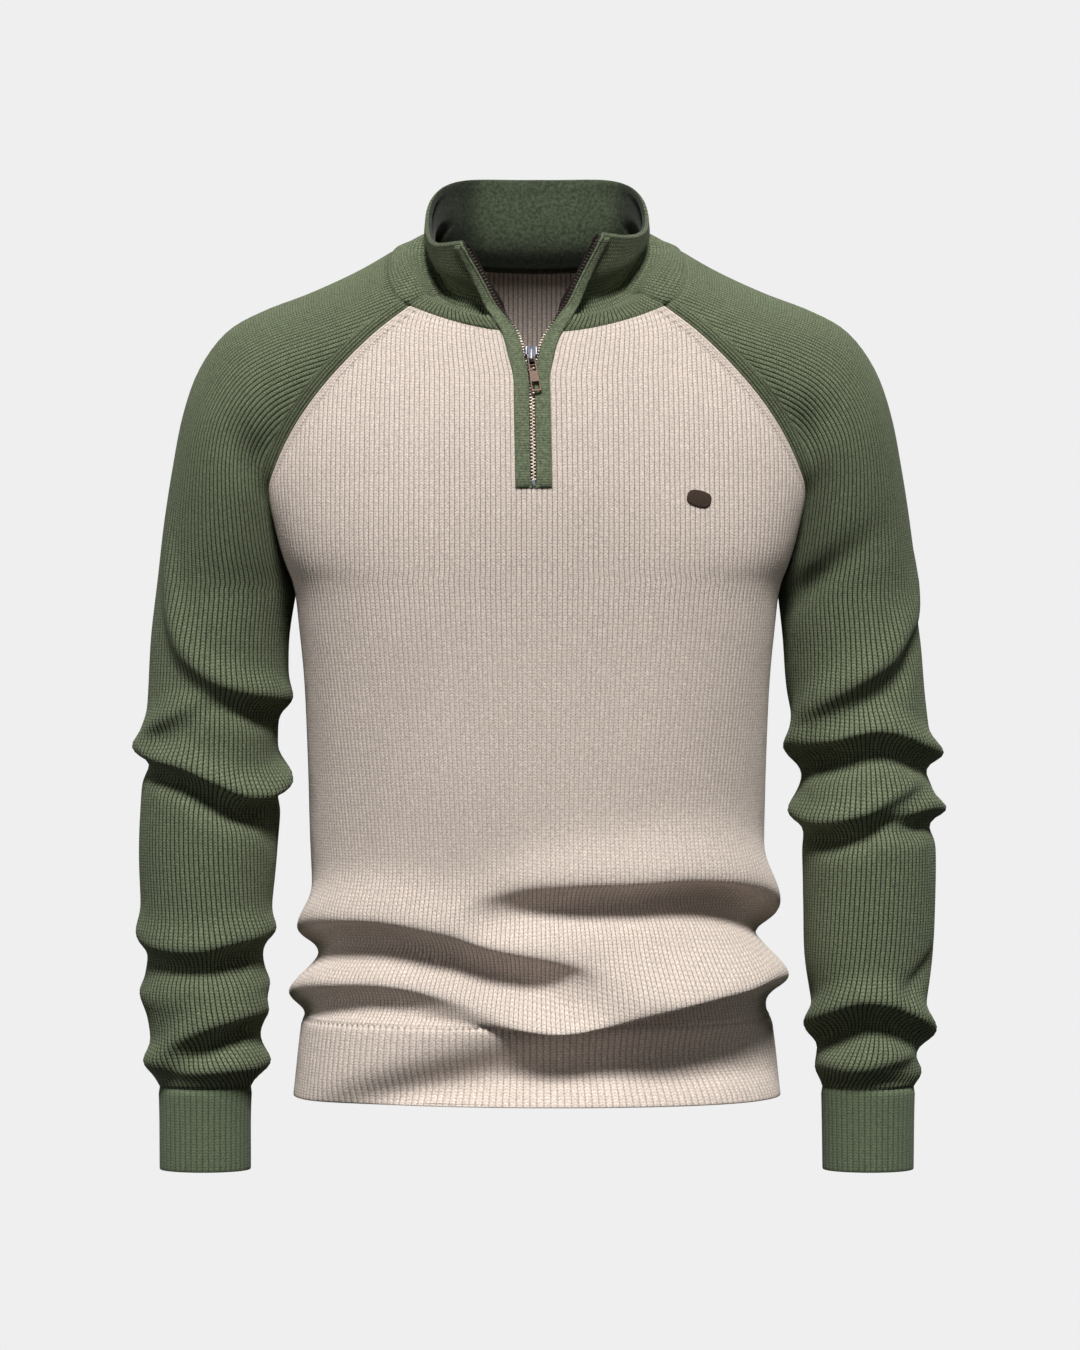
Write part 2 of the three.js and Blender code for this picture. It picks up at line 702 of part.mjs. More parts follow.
// The edge of the zip opening on one side, from the bottom of the placket to the top of the collar: at each row the
// edge point, the direction away from the opening, the direction out of the cloth, and the cloth's thickness.
function zipEdge(side) {
  const column = side < 0 ? frontSideColumns : frontSideColumns + 1;
  const station = (edge, beyond, thickness) => ({
    edge,
    away: beyond.clone().sub(edge).normalize(),
    reach: edge.distanceTo(beyond),
    out: bodyNormals(edge),
    beyondOut: bodyNormals(beyond),
    thickness,
  });
  const stations = [];
  const neckRow = front.grid.length - 1;
  for (let r = front.slitRow - 1; r <= neckRow; r++) {
    const at = (c) => front.panel.points[front.grid[r][c]];
    stations.push(station(at(column), at(column + side), r < neckRow ? clothThickness : collarThickness + 0.3));
  }
  for (const row of collar.grid.slice(1)) {
    const at = (c) => collar.panel.points[row.at(side < 0 ? c : -1 - c)];
    stations.push(station(at(0), at(1), collarThickness + 0.3));
  }
  return stations;
}

// A strip along the zip edge, between two distances from it (a share of the way to the next column of points when
// `share` is set) and two heights over the cloth, or under its inside when `behind` is set.
function edgeStrip(stations, side, { from, to, share, low, high, behind }) {
  const lines = stations.map(({ edge, away, reach, out, beyondOut, thickness }) => {
    const near = edge.clone().addScaledVector(away, from);
    const far = edge.clone().addScaledVector(away, share ? reach * share : to);
    const drop = behind ? thickness : 0;
    const farOut = out.clone().lerp(beyondOut, share ?? to / reach).normalize();
    const ends = side < 0 ? [[far, farOut], [near, out]] : [[near, out], [far, farOut]];
    return ends.flatMap(([p, direction]) => [
      p.clone().addScaledVector(direction, high - drop),
      p.clone().addScaledVector(direction, low - drop),
    ]);
  });
  const points = lines.flat();
  const faces = [];
  const quad = (a, b, c, d) => faces.push([a, b, c], [a, c, d]);
  for (let r = 0; r + 1 < lines.length; r++) {
    const [a, b] = [r * 4, r * 4 + 4];
    quad(a, a + 2, b + 2, b);
    quad(b + 3, a + 3, a + 1, b + 1);
    quad(a + 1, a, b, b + 1);
    quad(a + 2, a + 3, b + 3, b + 2);
  }
  const last = points.length - 4;
  quad(1, 3, 2, 0);
  quad(last, last + 2, last + 3, last + 1);
  return geometryFrom(points, faces);
}

const placketLow = seamGap;
const placketHigh = placketLow + 1.8;
const tape = { from: -2.9, to: 7, low: -1.1, high: -seamGap, behind: true };
const teeth = { from: -3.35, to: -1.85, low: -2.2, high: 1.1, behind: false };
const stations = { left: zipEdge(-1), right: zipEdge(1) };
for (const [name, side] of [["left", -1], ["right", 1]]) {
  const strip = (sizes) => edgeStrip(stations[name], side, sizes);
  const placket = { from: -placketOverhang, share: 1, low: placketLow, high: placketHigh };
  addMesh("placket_" + name, strip(placket), materials.greenKnit);
  addMesh("zip_tape_" + name, strip(tape), materials.zipTape);
  addMesh("zip_teeth_" + name, strip(teeth), materials.zipMetal);
}

// The zip's slider, on the chain where the opening begins, in its own frame: y runs up the zip and z out of the cloth.
function solidFrom(geometry) {
  const bare = geometry.index ? geometry.toNonIndexed() : geometry.clone();
  bare.deleteAttribute("normal");
  bare.deleteAttribute("uv");
  const merged = mergeVertices(bare, 1e-4);
  return new wasm.Manifold(
    new wasm.Mesh({
      numProp: 3,
      vertProperties: merged.attributes.position.array,
      triVerts: new Uint32Array(merged.index.array),
    }),
  );
}

function geometryOf(solid) {
  const mesh = solid.getMesh();
  const geometry = new THREE.BufferGeometry();
  geometry.setAttribute("position", new THREE.Float32BufferAttribute(mesh.vertProperties, 3));
  geometry.setIndex([...mesh.triVerts]);
  return geometry;
}

function block(width, height, depth, x, y, z) {
  return solidFrom(new THREE.BoxGeometry(width, height, depth).translate(x, y, z));
}

const slider = {
  z: -77.5,
  shoulder: 10.4,
  waist: 6.6,
  length: 13.5,
  plate: 1.3,
  frontFace: placketHigh + seamGap,
  backFace: -clothThickness + tape.low - seamGap,
  post: 1.6,
  pivotY: -4.6,
  pivotZ: placketHigh + 3.5,
  bridge: 1.5,
};

// A plate from an outline, whose corners turn left, with holes through it.
function plateFrom(corners, holes, depth) {
  const shape = new THREE.Shape(corners.map(([x, y]) => new THREE.Vector2(x, y)));
  for (const [left, right, bottom, top] of holes) {
    const loop = [[left, bottom], [left, top], [right, top], [right, bottom]];
    shape.holes.push(new THREE.Path(loop.map(([x, y]) => new THREE.Vector2(x, y))));
  }
  return new THREE.ExtrudeGeometry(shape, { depth, bevelEnabled: false });
}

function sliderPlate(z) {
  const top = slider.length / 2;
  const wide = slider.shoulder / 2;
  const narrow = slider.waist / 2;
  const right = [[narrow, -top], [narrow, -top * 0.2], [wide, top * 0.45], [wide, top * 0.85], [wide - 1.2, top]];
  const left = right.map(([x, y]) => [-x, y]).reverse();
  return solidFrom(plateFrom([...right, ...left], [], slider.plate).translate(0, 0, z));
}

function sliderBridge() {
  const foot = slider.frontFace + slider.plate;
  const roof = slider.pivotZ + 1.15;
  const at = slider.pivotY;
  const outline = [
    [at - 2.1, foot - 0.2],
    [at + 5.8, foot - 0.2],
    [at + 3, roof + 1],
    [at - 1.3, roof + 1],
    [at - 2.1, roof + 0.4],
  ];
  const geometry = plateFrom(outline, [[at - 1.1, at + 1.6, foot + 0.02, roof]], slider.bridge);
  geometry.translate(0, 0, -slider.bridge / 2);
  geometry.applyMatrix4(new THREE.Matrix4().set(0, 0, 1, 0, 1, 0, 0, 0, 0, 1, 0, 0, 0, 0, 0, 1));
  return solidFrom(geometry);
}

function sliderGeometry() {
  const between = slider.frontFace - slider.backFace;
  const postZ = (slider.frontFace + slider.backFace) / 2;
  return geometryOf(
    sliderPlate(slider.frontFace)
      .add(sliderPlate(slider.backFace - slider.plate))
      .add(block(slider.post, 2.2, between + 1, 0, slider.length / 2 - 1.4, postZ))
      .add(sliderBridge()),
  );
}

// The pull tab hangs from the slider's bridge: a bar at the pivot, an eye round the bridge, a body and a window.
const pull = { topWidth: 6, endWidth: 7.6, length: 23.2, thickness: 1.2, tilt: 8.5, lean: 4.5, bar: 0.6 };

function pullGeometry() {
  const top = pull.topWidth / 2;
  const end = pull.endWidth / 2;
  const left = [[-top, pull.bar], [-end, -pull.length + 0.8], [-end + 0.8, -pull.length]];
  const right = left.map(([x, y]) => [-x, y]).reverse();
  const eye = [-1.75, 1.75, -5.4, -pull.bar];
  const window = [-2.3, 2.3, -20.6, -15.6];
  const geometry = plateFrom([...left, ...right], [eye, window], pull.thickness);
  geometry.translate(0, 0, -pull.thickness / 2);
  geometry.rotateZ(rad(pull.tilt));
  geometry.rotateX(rad(pull.lean));
  geometry.translate(0, slider.pivotY, slider.pivotZ);
  return geometry;
}

// Frame of the zip at a height: midway between its edges, leaning as they do between two rows of points.
function zipFrame(z) {
  const upper = stations.left.findIndex((station) => station.edge.z > z);
  const middle = (i) => stations.left[i].edge.clone().lerp(stations.right[i].edge, 0.5);
  const [low, high] = [middle(upper - 1), middle(upper)];
  const frame = new THREE.Group();
  frame.position.copy(low.clone().lerp(high, (z - low.z) / (high.z - low.z)));
  frame.rotation.x = Math.PI / 2 - Math.atan2(high.y - low.y, high.z - low.z);
  group.add(frame);
  return frame;
}
const zipHardware = zipFrame(slider.z);
addMesh("zip_slider", sliderGeometry(), materials.zipMetal, zipHardware);
addMesh("zip_pull", pullGeometry(), materials.pullMetal, zipHardware);

// Bottom stop across the end of the chain, over both rows of teeth.
const stop = { z: placketBottomZ + 3, width: 3.4, height: 4, low: teeth.high + seamGap, high: teeth.high + 1.3 };
const stopBox = new THREE.BoxGeometry(stop.width, stop.height, stop.high - stop.low);
addMesh("zip_stop", stopBox.translate(0, 0, (stop.low + stop.high) / 2), materials.zipMetal, zipFrame(stop.z));

// Depth of the front's outer face at a place seen from the front.
function frontFaceY(x, z) {
  for (const corners of trianglesOf(front.panel.quads)) {
    const [a, b, c] = corners.map((index) => front.panel.points[index]);
    const area = (b.x - a.x) * (c.z - a.z) - (c.x - a.x) * (b.z - a.z);
    const v = ((x - a.x) * (c.z - a.z) - (c.x - a.x) * (z - a.z)) / area;
    const w = ((b.x - a.x) * (z - a.z) - (x - a.x) * (b.z - a.z)) / area;
    if (v >= 0 && w >= 0 && v + w <= 1) return a.y + v * (b.y - a.y) + w * (c.y - a.y);
  }
  throw new Error("no cloth at " + x + ", " + z);
}

// A plain tab sewn on the chest, made from the front's points and moved out.
const patch = { x: 117.5, z: -182, halfWidth: 9, halfHeight: 6, tilt: -14, low: 0.6, high: 1.5, columns: 6, rows: 4 };
function patchGeometry() {
  const panel = makePanel();
  const grid = [];
  for (let r = 0; r <= patch.rows; r++) {
    const indices = [];
    for (let c = 0; c <= patch.columns; c++) {
      const u = mix(-1, 1, c / patch.columns);
      const v = mix(-1, 1, r / patch.rows);
      const place = new THREE.Vector2(
        patch.halfWidth * u * Math.sqrt(1 - 0.22 * v * v),
        patch.halfHeight * v * Math.sqrt(1 - 0.22 * u * u),
      ).rotateAround(new THREE.Vector2(), rad(patch.tilt));
      const [x, z] = [patch.x + place.x, patch.z + place.y];
      indices.push(addPoint(panel, new THREE.Vector3(x, frontFaceY(x, z), z)));
    }
    grid.push(indices);
  }
  addGrid(panel, grid);
  return clothWall(panel, sharedNormals([panel]), patch.high, -patch.low);
}
addMesh("patch", patchGeometry(), materials.patchThread);

export default group;
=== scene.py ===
# Quarter zip raglan sweater: ribbed beige body, green ribbed sleeves, stand collar with a metal zip.
# Numbers are millimetres unless a name says otherwise, and become metres when a mesh is made.
import json
import math

import bmesh
import bpy
import numpy as np
from mathutils import Matrix, Vector

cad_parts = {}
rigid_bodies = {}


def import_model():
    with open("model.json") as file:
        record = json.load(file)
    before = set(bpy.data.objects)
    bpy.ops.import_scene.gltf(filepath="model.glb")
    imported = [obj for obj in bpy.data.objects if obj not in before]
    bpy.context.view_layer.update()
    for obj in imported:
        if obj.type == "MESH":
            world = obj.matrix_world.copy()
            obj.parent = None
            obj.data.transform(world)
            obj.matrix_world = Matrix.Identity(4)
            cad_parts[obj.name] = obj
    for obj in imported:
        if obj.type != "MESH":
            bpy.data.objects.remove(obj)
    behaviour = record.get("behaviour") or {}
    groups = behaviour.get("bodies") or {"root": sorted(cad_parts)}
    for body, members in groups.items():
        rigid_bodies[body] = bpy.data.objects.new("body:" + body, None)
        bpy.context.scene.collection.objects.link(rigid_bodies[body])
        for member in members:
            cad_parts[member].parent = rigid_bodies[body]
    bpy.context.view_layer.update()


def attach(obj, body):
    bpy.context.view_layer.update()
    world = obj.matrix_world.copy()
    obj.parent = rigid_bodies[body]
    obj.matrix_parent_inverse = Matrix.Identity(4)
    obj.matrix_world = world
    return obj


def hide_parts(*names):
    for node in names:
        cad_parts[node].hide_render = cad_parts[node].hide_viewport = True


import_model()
mm = 0.001


# Camera, as the photo was taken: level, straight from the front
def addCamera():
    view = {"distance": 3400, "x": 2.25, "z": -309.75, "heightSeen": 1012.5, "sensor": 36}
    camera = bpy.data.cameras.new("photoCamera")
    camera.sensor_width = view["sensor"]
    camera.lens = view["sensor"] * view["distance"] / view["heightSeen"]
    camera.clip_end = 30
    holder = bpy.data.objects.new("photoCamera", camera)
    holder.location = (view["x"] * mm, -view["distance"] * mm, view["z"] * mm)
    holder.rotation_euler = (math.pi / 2, 0, 0)
    bpy.context.scene.collection.objects.link(holder)
    bpy.context.scene.camera = holder


addCamera()
print("camera set")


# Reading short tables
def table(columns, rows):
    values = np.array(rows, float)
    return {name: values[:, i] for i, name in enumerate(columns.split())}


def smoothAt(keys, values, at):
    order = np.argsort(keys)
    x, y = keys[order], values[order]
    left = np.maximum(np.arange(len(x)) - 1, 0)
    right = np.minimum(np.arange(len(x)) + 1, len(x) - 1)
    slope = (y[right] - y[left]) / (x[right] - x[left])
    i = np.clip(np.searchsorted(x, at) - 1, 0, len(x) - 2)
    span = x[i + 1] - x[i]
    t = np.clip((at - x[i]) / span, 0, 1)
    start = y[i] * (1 + 2 * t) * (1 - t) ** 2 + slope[i] * span * t * (1 - t) ** 2
    end = y[i + 1] * t * t * (3 - 2 * t) + slope[i + 1] * span * t * t * (t - 1)
    return start + end


def smoothStep(x, low, high):
    t = np.clip((x - low) / (high - low), 0, 1)
    return t * t * (3 - 2 * t)


# Shape of the garment, the same as its solids
underarmRow = 9
hemSeamZ = -566
hemZ = -624
cuffSeamZ = -617
cuffZ = -678.5
placketBottomZ = -174
placketOverhang = 1.4
bodyRoundness = 2.3
chestSquare = 0.95
clothThickness = 2.4

bodySections = table(
    "z half front back",
    [
        [-623, 182.5, 118, 110], [-566, 176, 113, 104], [-530, 169, 109, 99], [-480, 168, 109, 95],
        [-430, 170, 112, 93], [-370, 171.5, 116, 95], [-310, 174, 120, 102], [-244, 180, 124, 111],
        [-200, 180, 125, 115], [-160, 180, 122, 116], [-120, 180, 113.5, 114], [-85, 180, 100, 108],
        [-50, 180, 80, 98], [-20, 180, 62, 84], [12, 180, 50, 62],
    ],
)
raglanRows = table(
    "k frontX frontY frontZ topX topZ backX backY backZ depth middleFrontZ middleBackZ",
    [
        [0, 93, -57, -36, 110, 2, 86, 50, 10, 61, -58.5, 3],
        [1, 119, -68, -57, 137, -12.5, 114, 62, -10, 71, -68.5, -16],
        [2, 144, -74, -82, 172, -26.5, 142, 70, -40, 78, -91.5, -44],
        [3, 165, -76, -107, 206, -38, 164, 74, -72, 81, -113, -75],
        [4, 182, -74, -133, 233, -53, 181, 74, -104, 82, -137, -106],
        [5, 194, -68, -159, 253, -80, 192, 68, -136, 80, -161, -137],
        [6, 198, -58, -176, 265, -114, 196, 57, -163, 76, -177, -164],
        [7, 194, -46, -200, 273, -155, 193, 37, -195, 71, -200, -195],
        [8, 187, -28, -227, 280, -200, 187, 15, -225, 65, -227, -225],
        [9, 180, 0, -244, 285, -246, 180, 0, -244, 61, -244, -244],
    ],
)
sleeveSections = {
    -1: table(
        "z outer inner front back",
        [
            [-244, 285, 180, -61, 61], [-280, 289, 185.5, -62, 58], [-320, 291, 187, -62, 54],
            [-360, 293, 194, -62, 50], [-400, 296, 191.5, -62, 46], [-440, 297.5, 194, -62, 42],
            [-480, 296, 198, -61, 39], [-520, 293, 203, -60, 36], [-560, 291, 205, -58, 33],
            [-600, 285.5, 207, -53, 25], [-617, 282.5, 212.5, -46, 14], [-680, 281.5, 213.5, -44, 10],
        ],
    ),
    1: table(
        "z outer inner front back",
        [
            [-244, 283, 180, -61, 61], [-280, 287, 184, -62, 58], [-320, 290, 187, -62, 54],
            [-360, 294, 194.5, -62, 50], [-400, 296, 194.5, -62, 46], [-440, 298, 198, -62, 42],
            [-480, 297.5, 199, -61, 39], [-520, 295.5, 200, -60, 36], [-560, 290, 206, -58, 33],
            [-600, 284.5, 211, -53, 25], [-617, 282.2, 212, -46, 14], [-680, 281, 213, -44, 10],
        ],
    ),
}

# Folds: each is a line of places along its ridge, by angle round the piece. On the body 0 is the front and
# 90 the right side, on a sleeve 0 is the front and 90 the outer side. The ridge stands out by rise and is
# above and below wide, with a hollow under it that it droops over. A negative rise is a crease.
foldColumns = "angle z rise above below hollow droop"
bodyFolds = [
    [
        [-155, -500, 0, 16, 9, 0, 0.5], [-120, -503, 8, 16, 9, 4, 0.6], [-90, -497, 12, 15, 9, 7, 0.6],
        [-68, -487, 12, 17, 10, 10, 0.6], [-42, -482, 13, 19, 11, 13, 0.6],
        [-22, -491, 12, 19, 12, 13, 0.6], [-10, -502, 11, 18, 12, 12, 0.6], [4, -511, 9, 18, 12, 10, 0.6],
        [15, -517, 6, 17, 12, 8, 0.6], [26, -521, 3, 16, 12, 4, 0.5], [38, -525, 0, 16, 12, 0, 0.5],
    ],
    [
        [-22, -471, 0, 14, 9, 0, 0.5], [-12, -467, 3, 15, 9, 4, 0.5], [-2, -461, 6, 18, 10, 8, 0.5],
        [10, -457, 9, 22, 11, 11, 0.6], [24, -455, 11, 24, 11, 12, 0.6], [38, -452, 13, 25, 11, 13, 0.6],
        [53, -454, 15, 24, 11, 13, 0.6], [68, -463, 16, 22, 11, 11, 0.6], [90, -480, 14, 20, 10, 8, 0.6],
        [116, -490, 9, 18, 10, 5, 0.6], [146, -494, 0, 16, 10, 0, 0.5],
    ],
    [
        [-36, -560, 0, 9, 8, 0, 0.4], [-16, -559, 4, 12, 8, 0, 0.6], [-4, -556, 12, 14, 8, 0, 0.85],
        [5, -553, 20, 17, 9, 0, 0.8], [15, -547, 27, 19, 10, 1, 0.64], [28, -536, 32, 21, 11, 3, 0.56],
        [38, -529, 33, 21, 11, 5, 0.53], [51, -524, 31, 21, 11, 6, 0.52], [68, -525, 25, 18, 11, 6, 0.49],
        [90, -531, 18, 16, 11, 5, 0.6], [118, -541, 9, 15, 10, 3, 0.6], [146, -550, 0, 14, 9, 0, 0.5],
    ],
    [
        [-146, -552, 0, 12, 9, 0, 0.5], [-112, -549, 9, 12, 10, 3, 0.6], [-90, -543, 15, 12, 10, 5, 0.6],
        [-74, -536, 14, 12, 10, 6, 0.6], [-58, -531, 12, 13, 10, 7, 0.6], [-44, -530, 9, 13, 10, 7, 0.6],
        [-32, -533, 7, 13, 10, 7, 0.6], [-22, -540, 5, 13, 10, 6, 0.5], [-12, -547, 3, 12, 9, 4, 0.5],
        [2, -553, 0, 12, 9, 0, 0.5],
    ],
    [
        [116, -500, 0, 20, 9, 0, 0.6], [144, -490, 8, 22, 9, 5, 0.6], [176, -478, 10, 22, 10, 6, 0.6],
        [212, -486, 9, 21, 9, 6, 0.6], [258, -502, 0, 20, 9, 0, 0.6],
    ],
    [
        [116, -532, 0, 14, 8, 0, 0.7], [142, -538, 9, 14, 8, 4, 0.8], [170, -543, 9, 14, 8, 4, 0.8],
        [214, -549, 0, 14, 8, 0, 0.7],
    ],
    [
        [186, -520, 0, 12, 8, 0, 0.6], [212, -529, 8, 12, 8, 4, 0.6], [232, -539, 8, 12, 8, 4, 0.6],
        [252, -547, 0, 12, 8, 0, 0.6],
    ],
]
sleeveFolds = {
    -1: [
        [
            [-52, -176, 0, 10, 10, 0, 0], [-30, -162, -6, 10, 10, 0, 0], [-6, -146, -7, 10, 10, 0, 0],
            [26, -122, 0, 10, 10, 0, 0],
        ],
        [
            [68, -190, 0, 9, 9, 0, 0.3], [55, -231, 4, 9, 8, 1, 0.3], [42, -263, 6, 9, 8, 2, 0.3],
            [25, -290, 7, 10, 8, 3, 0.3], [2, -309, 7, 10, 8, 4, 0.4], [-22, -318, 8, 11, 8, 5, 0.4],
            [-52, -323, 8, 11, 8, 6, 0.4], [-84, -326, 6, 10, 8, 4, 0.4], [-120, -320, 0, 10, 8, 0, 0.3],
        ],
        [
            [130, -350, 0, 11, 7, 0, 0.3], [90, -352, 3, 11, 8, 1, 0.3], [66, -349, 5, 11, 8, 1, 0.3],
            [48, -343, 5, 10, 8, 2, 0.3], [28, -335, 4, 10, 8, 2, 0.3], [12, -329, 2, 9, 8, 1, 0.3],
            [-4, -324, 0, 9, 7, 0, 0.3],
        ],
        [
            [152, -352, 0, 8, 7, 0, 0.5], [112, -358, 7, 8, 7, 4, 0.5], [84, -362, 9, 8, 7, 6, 0.5],
            [48, -368, 9, 8, 7, 8, 0.5], [18, -374, 9, 8, 8, 9, 0.5], [-6, -384, 10, 8, 8, 9, 0.5],
            [-32, -394, 11, 9, 8, 7, 0.5], [-64, -391, 12, 10, 7, 5, 0.5], [-96, -382, 10, 10, 7, 4, 0.5],
            [-126, -372, 5, 10, 7, 2, 0.5], [-156, -366, 0, 10, 7, 0, 0.5],
        ],
        [
            [14, -410, 0, 9, 9, 0, 0], [-22, -413, -3, 10, 10, 0, 0], [-60, -421, -5, 10, 10, 0, 0],
            [-98, -426, 0, 10, 10, 0, 0],
        ],
        [
            [132, -496, 0, 12, 8, 0, 0.5], [92, -500, 5, 12, 8, 3, 0.5], [44, -508, 6, 12, 8, 5, 0.5],
            [4, -510, 7, 12, 8, 8, 0.5], [-32, -503, 8, 12, 9, 10, 0.5], [-78, -498, 7, 10, 8, 5, 0.5],
            [-126, -500, 0, 10, 8, 0, 0.5],
        ],
        [
            [134, -546, 0, 9, 9, 0, 0], [92, -546, 5, 9, 9, 0, 0], [42, -551, 2, 9, 9, 0, 0],
            [4, -552, 1, 9, 9, 0, 0], [-44, -545, 3, 9, 9, 0, 0], [-90, -540, 5, 9, 9, 0, 0],
            [-132, -540, 0, 9, 9, 0, 0],
        ],
        [
            [82, -594, 0, 8, 6, 0, 0.4], [50, -588, 3, 8, 6, 2, 0.4], [20, -577, 5, 10, 7, 6, 0.4],
            [-10, -567, 7, 11, 8, 9, 0.4], [-50, -559, 8, 10, 7, 8, 0.4], [-84, -560, 5, 8, 7, 3, 0.4],
            [-118, -566, 0, 8, 7, 0, 0.4],
        ],
        [
            [-181, -600, 6, 10, 8, 0, 0.6], [-90, -596, 8, 9, 8, 0, 0.6], [-20, -597, 6, 9, 8, 0, 0.6],
            [90, -596, 8, 9, 8, 0, 0.6], [181, -600, 6, 10, 8, 0, 0.6],
        ],
        [
            [118, -352, 0, 12, 9, 0, 0.4], [150, -362, 5, 12, 9, 4, 0.4], [186, -371, 6, 12, 9, 4, 0.4],
            [220, -369, 5, 12, 9, 3, 0.4], [250, -364, 0, 12, 9, 0, 0.4],
        ],
        [
            [118, -503, 0, 12, 9, 0, 0.4], [150, -513, 5, 12, 9, 4, 0.4], [186, -518, 6, 12, 9, 4, 0.4],
            [252, -502, 0, 12, 9, 0, 0.4],
        ],
        [
            [130, -580, 0, 10, 8, 0, 0.4], [176, -570, 5, 10, 8, 3, 0.4], [246, -578, 0, 10, 8, 0, 0.4],
        ],
    ],
    1: [
        [
            [-52, -170, 0, 10, 10, 0, 0], [-30, -152, -7, 10, 10, 0, 0], [-6, -130, -8, 10, 10, 0, 0],
            [26, -102, 0, 10, 10, 0, 0],
        ],
        [
            [-92, -264, 0, 10, 9, 0, 0], [-54, -252, -6, 10, 9, 0, 0], [-18, -231, -7, 11, 9, 0, 0],
            [16, -212, -4, 11, 10, 0, 0], [50, -196, 0, 11, 10, 0, 0],
        ],
        [
            [104, -222, 0, 9, 8, 0, 0.3], [76, -251, 5, 10, 8, 2, 0.3], [48, -275, 7, 11, 8, 4, 0.3],
            [25, -296, 8, 12, 9, 5, 0.3], [-4, -313, 8, 13, 9, 6, 0.4], [-34, -328, 7, 13, 9, 5, 0.4],
            [-66, -342, 5, 12, 9, 2, 0.4], [-98, -355, 0, 12, 9, 0, 0.4],
        ],
        [
            [-144, -368, 0, 10, 9, 0, 0.5], [-90, -363, 10, 10, 9, 6, 0.5],
            [-64, -357, 12, 10, 9, 9, 0.5], [-30, -352, 12, 11, 10, 11, 0.5],
            [4, -346, 10, 11, 10, 11, 0.5], [26, -349, 9, 10, 9, 9, 0.5], [58, -359, 9, 9, 8, 7, 0.5],
            [90, -366, 10, 8, 7, 6, 0.5], [142, -362, 0, 8, 7, 0, 0.5],
        ],
        [
            [-140, -404, 0, 9, 8, 0, 0.5], [-90, -409, 8, 9, 8, 4, 0.5], [-44, -414, 10, 9, 8, 8, 0.5],
            [-12, -410, 9, 9, 8, 8, 0.5], [14, -400, 6, 8, 7, 6, 0.4], [40, -391, 3, 7, 6, 3, 0.4],
            [66, -383, 0, 7, 6, 0, 0.4],
        ],
        [
            [-12, -416, 0, 7, 6, 0, 0.4], [12, -412, 4, 7, 6, 3, 0.4], [36, -408, 6, 7, 7, 6, 0.4],
            [60, -405, 8, 7, 7, 7, 0.4], [90, -407, 10, 7, 7, 6, 0.5], [142, -402, 0, 7, 7, 0, 0.5],
        ],
        [
            [16, -554, 0, 8, 8, 0, 0], [39, -540, -4, 8, 8, 0, 0], [62, -527, -4, 8, 8, 0, 0],
            [88, -516, 0, 8, 8, 0, 0],
        ],
        [
            [-142, -577, 0, 9, 8, 0, 0.5], [-94, -571, 8, 9, 8, 4, 0.5], [-66, -562, 10, 9, 8, 8, 0.5],
            [-43, -555, 10, 10, 9, 10, 0.5], [-10, -547, 9, 10, 10, 12, 0.5],
            [23, -551, 9, 10, 9, 10, 0.5], [55, -562, 10, 9, 8, 6, 0.5], [90, -574, 10, 9, 8, 4, 0.5],
            [142, -580, 0, 9, 8, 0, 0.5],
        ],
        [
            [-150, -600, 0, 8, 7, 0, 0.4], [-90, -593, 4, 8, 7, 2, 0.4], [-20, -597, 5, 8, 7, 4, 0.4],
            [26, -592, 5, 8, 7, 4, 0.4], [60, -588, 3, 8, 7, 2, 0.4], [88, -585, 0, 8, 7, 0, 0.4],
        ],
        [
            [-181, -604, 4, 7, 6, 0, 0.3], [0, -605, 4, 7, 6, 0, 0.3], [181, -604, 4, 7, 6, 0, 0.3],
        ],
        [
            [116, -372, 0, 12, 9, 0, 0.4], [176, -361, 6, 12, 9, 4, 0.4], [248, -374, 0, 12, 9, 0, 0.4],
        ],
        [
            [118, -410, 0, 12, 9, 0, 0.4], [184, -421, 5, 12, 9, 3, 0.4], [250, -416, 0, 12, 9, 0, 0.4],
        ],
        [
            [126, -584, 0, 10, 8, 0, 0.4], [184, -573, 6, 10, 8, 3, 0.4], [244, -584, 0, 10, 8, 0, 0.4],
        ],
    ],
}
hemFolds = [
    [
        [-66, -640, 0, 12, 14, 0, 0], [-44, -624, -10, 14, 14, 0, 0], [-22, -610, -18, 18, 17, 0, 0],
        [4, -597, -21, 24, 20, 0, 0], [30, -592, -22, 27, 21, 0, 0], [58, -588, -17, 27, 19, 0, 0],
        [78, -586, -8, 24, 16, 0, 0], [90, -584, 0, 20, 14, 0, 0],
    ],
]
zipOpening = table(
    "z middle half",
    [
        [-180, -2.2, 2.1],
        [-105, -3.6, 2.1],
        [-91.5, -4.0, 2.1],
        [-79, -4.2, 5.2],
        [-68.5, -4.2, 7.7],
        [-58.5, -3.6, 11.4],
    ],
)


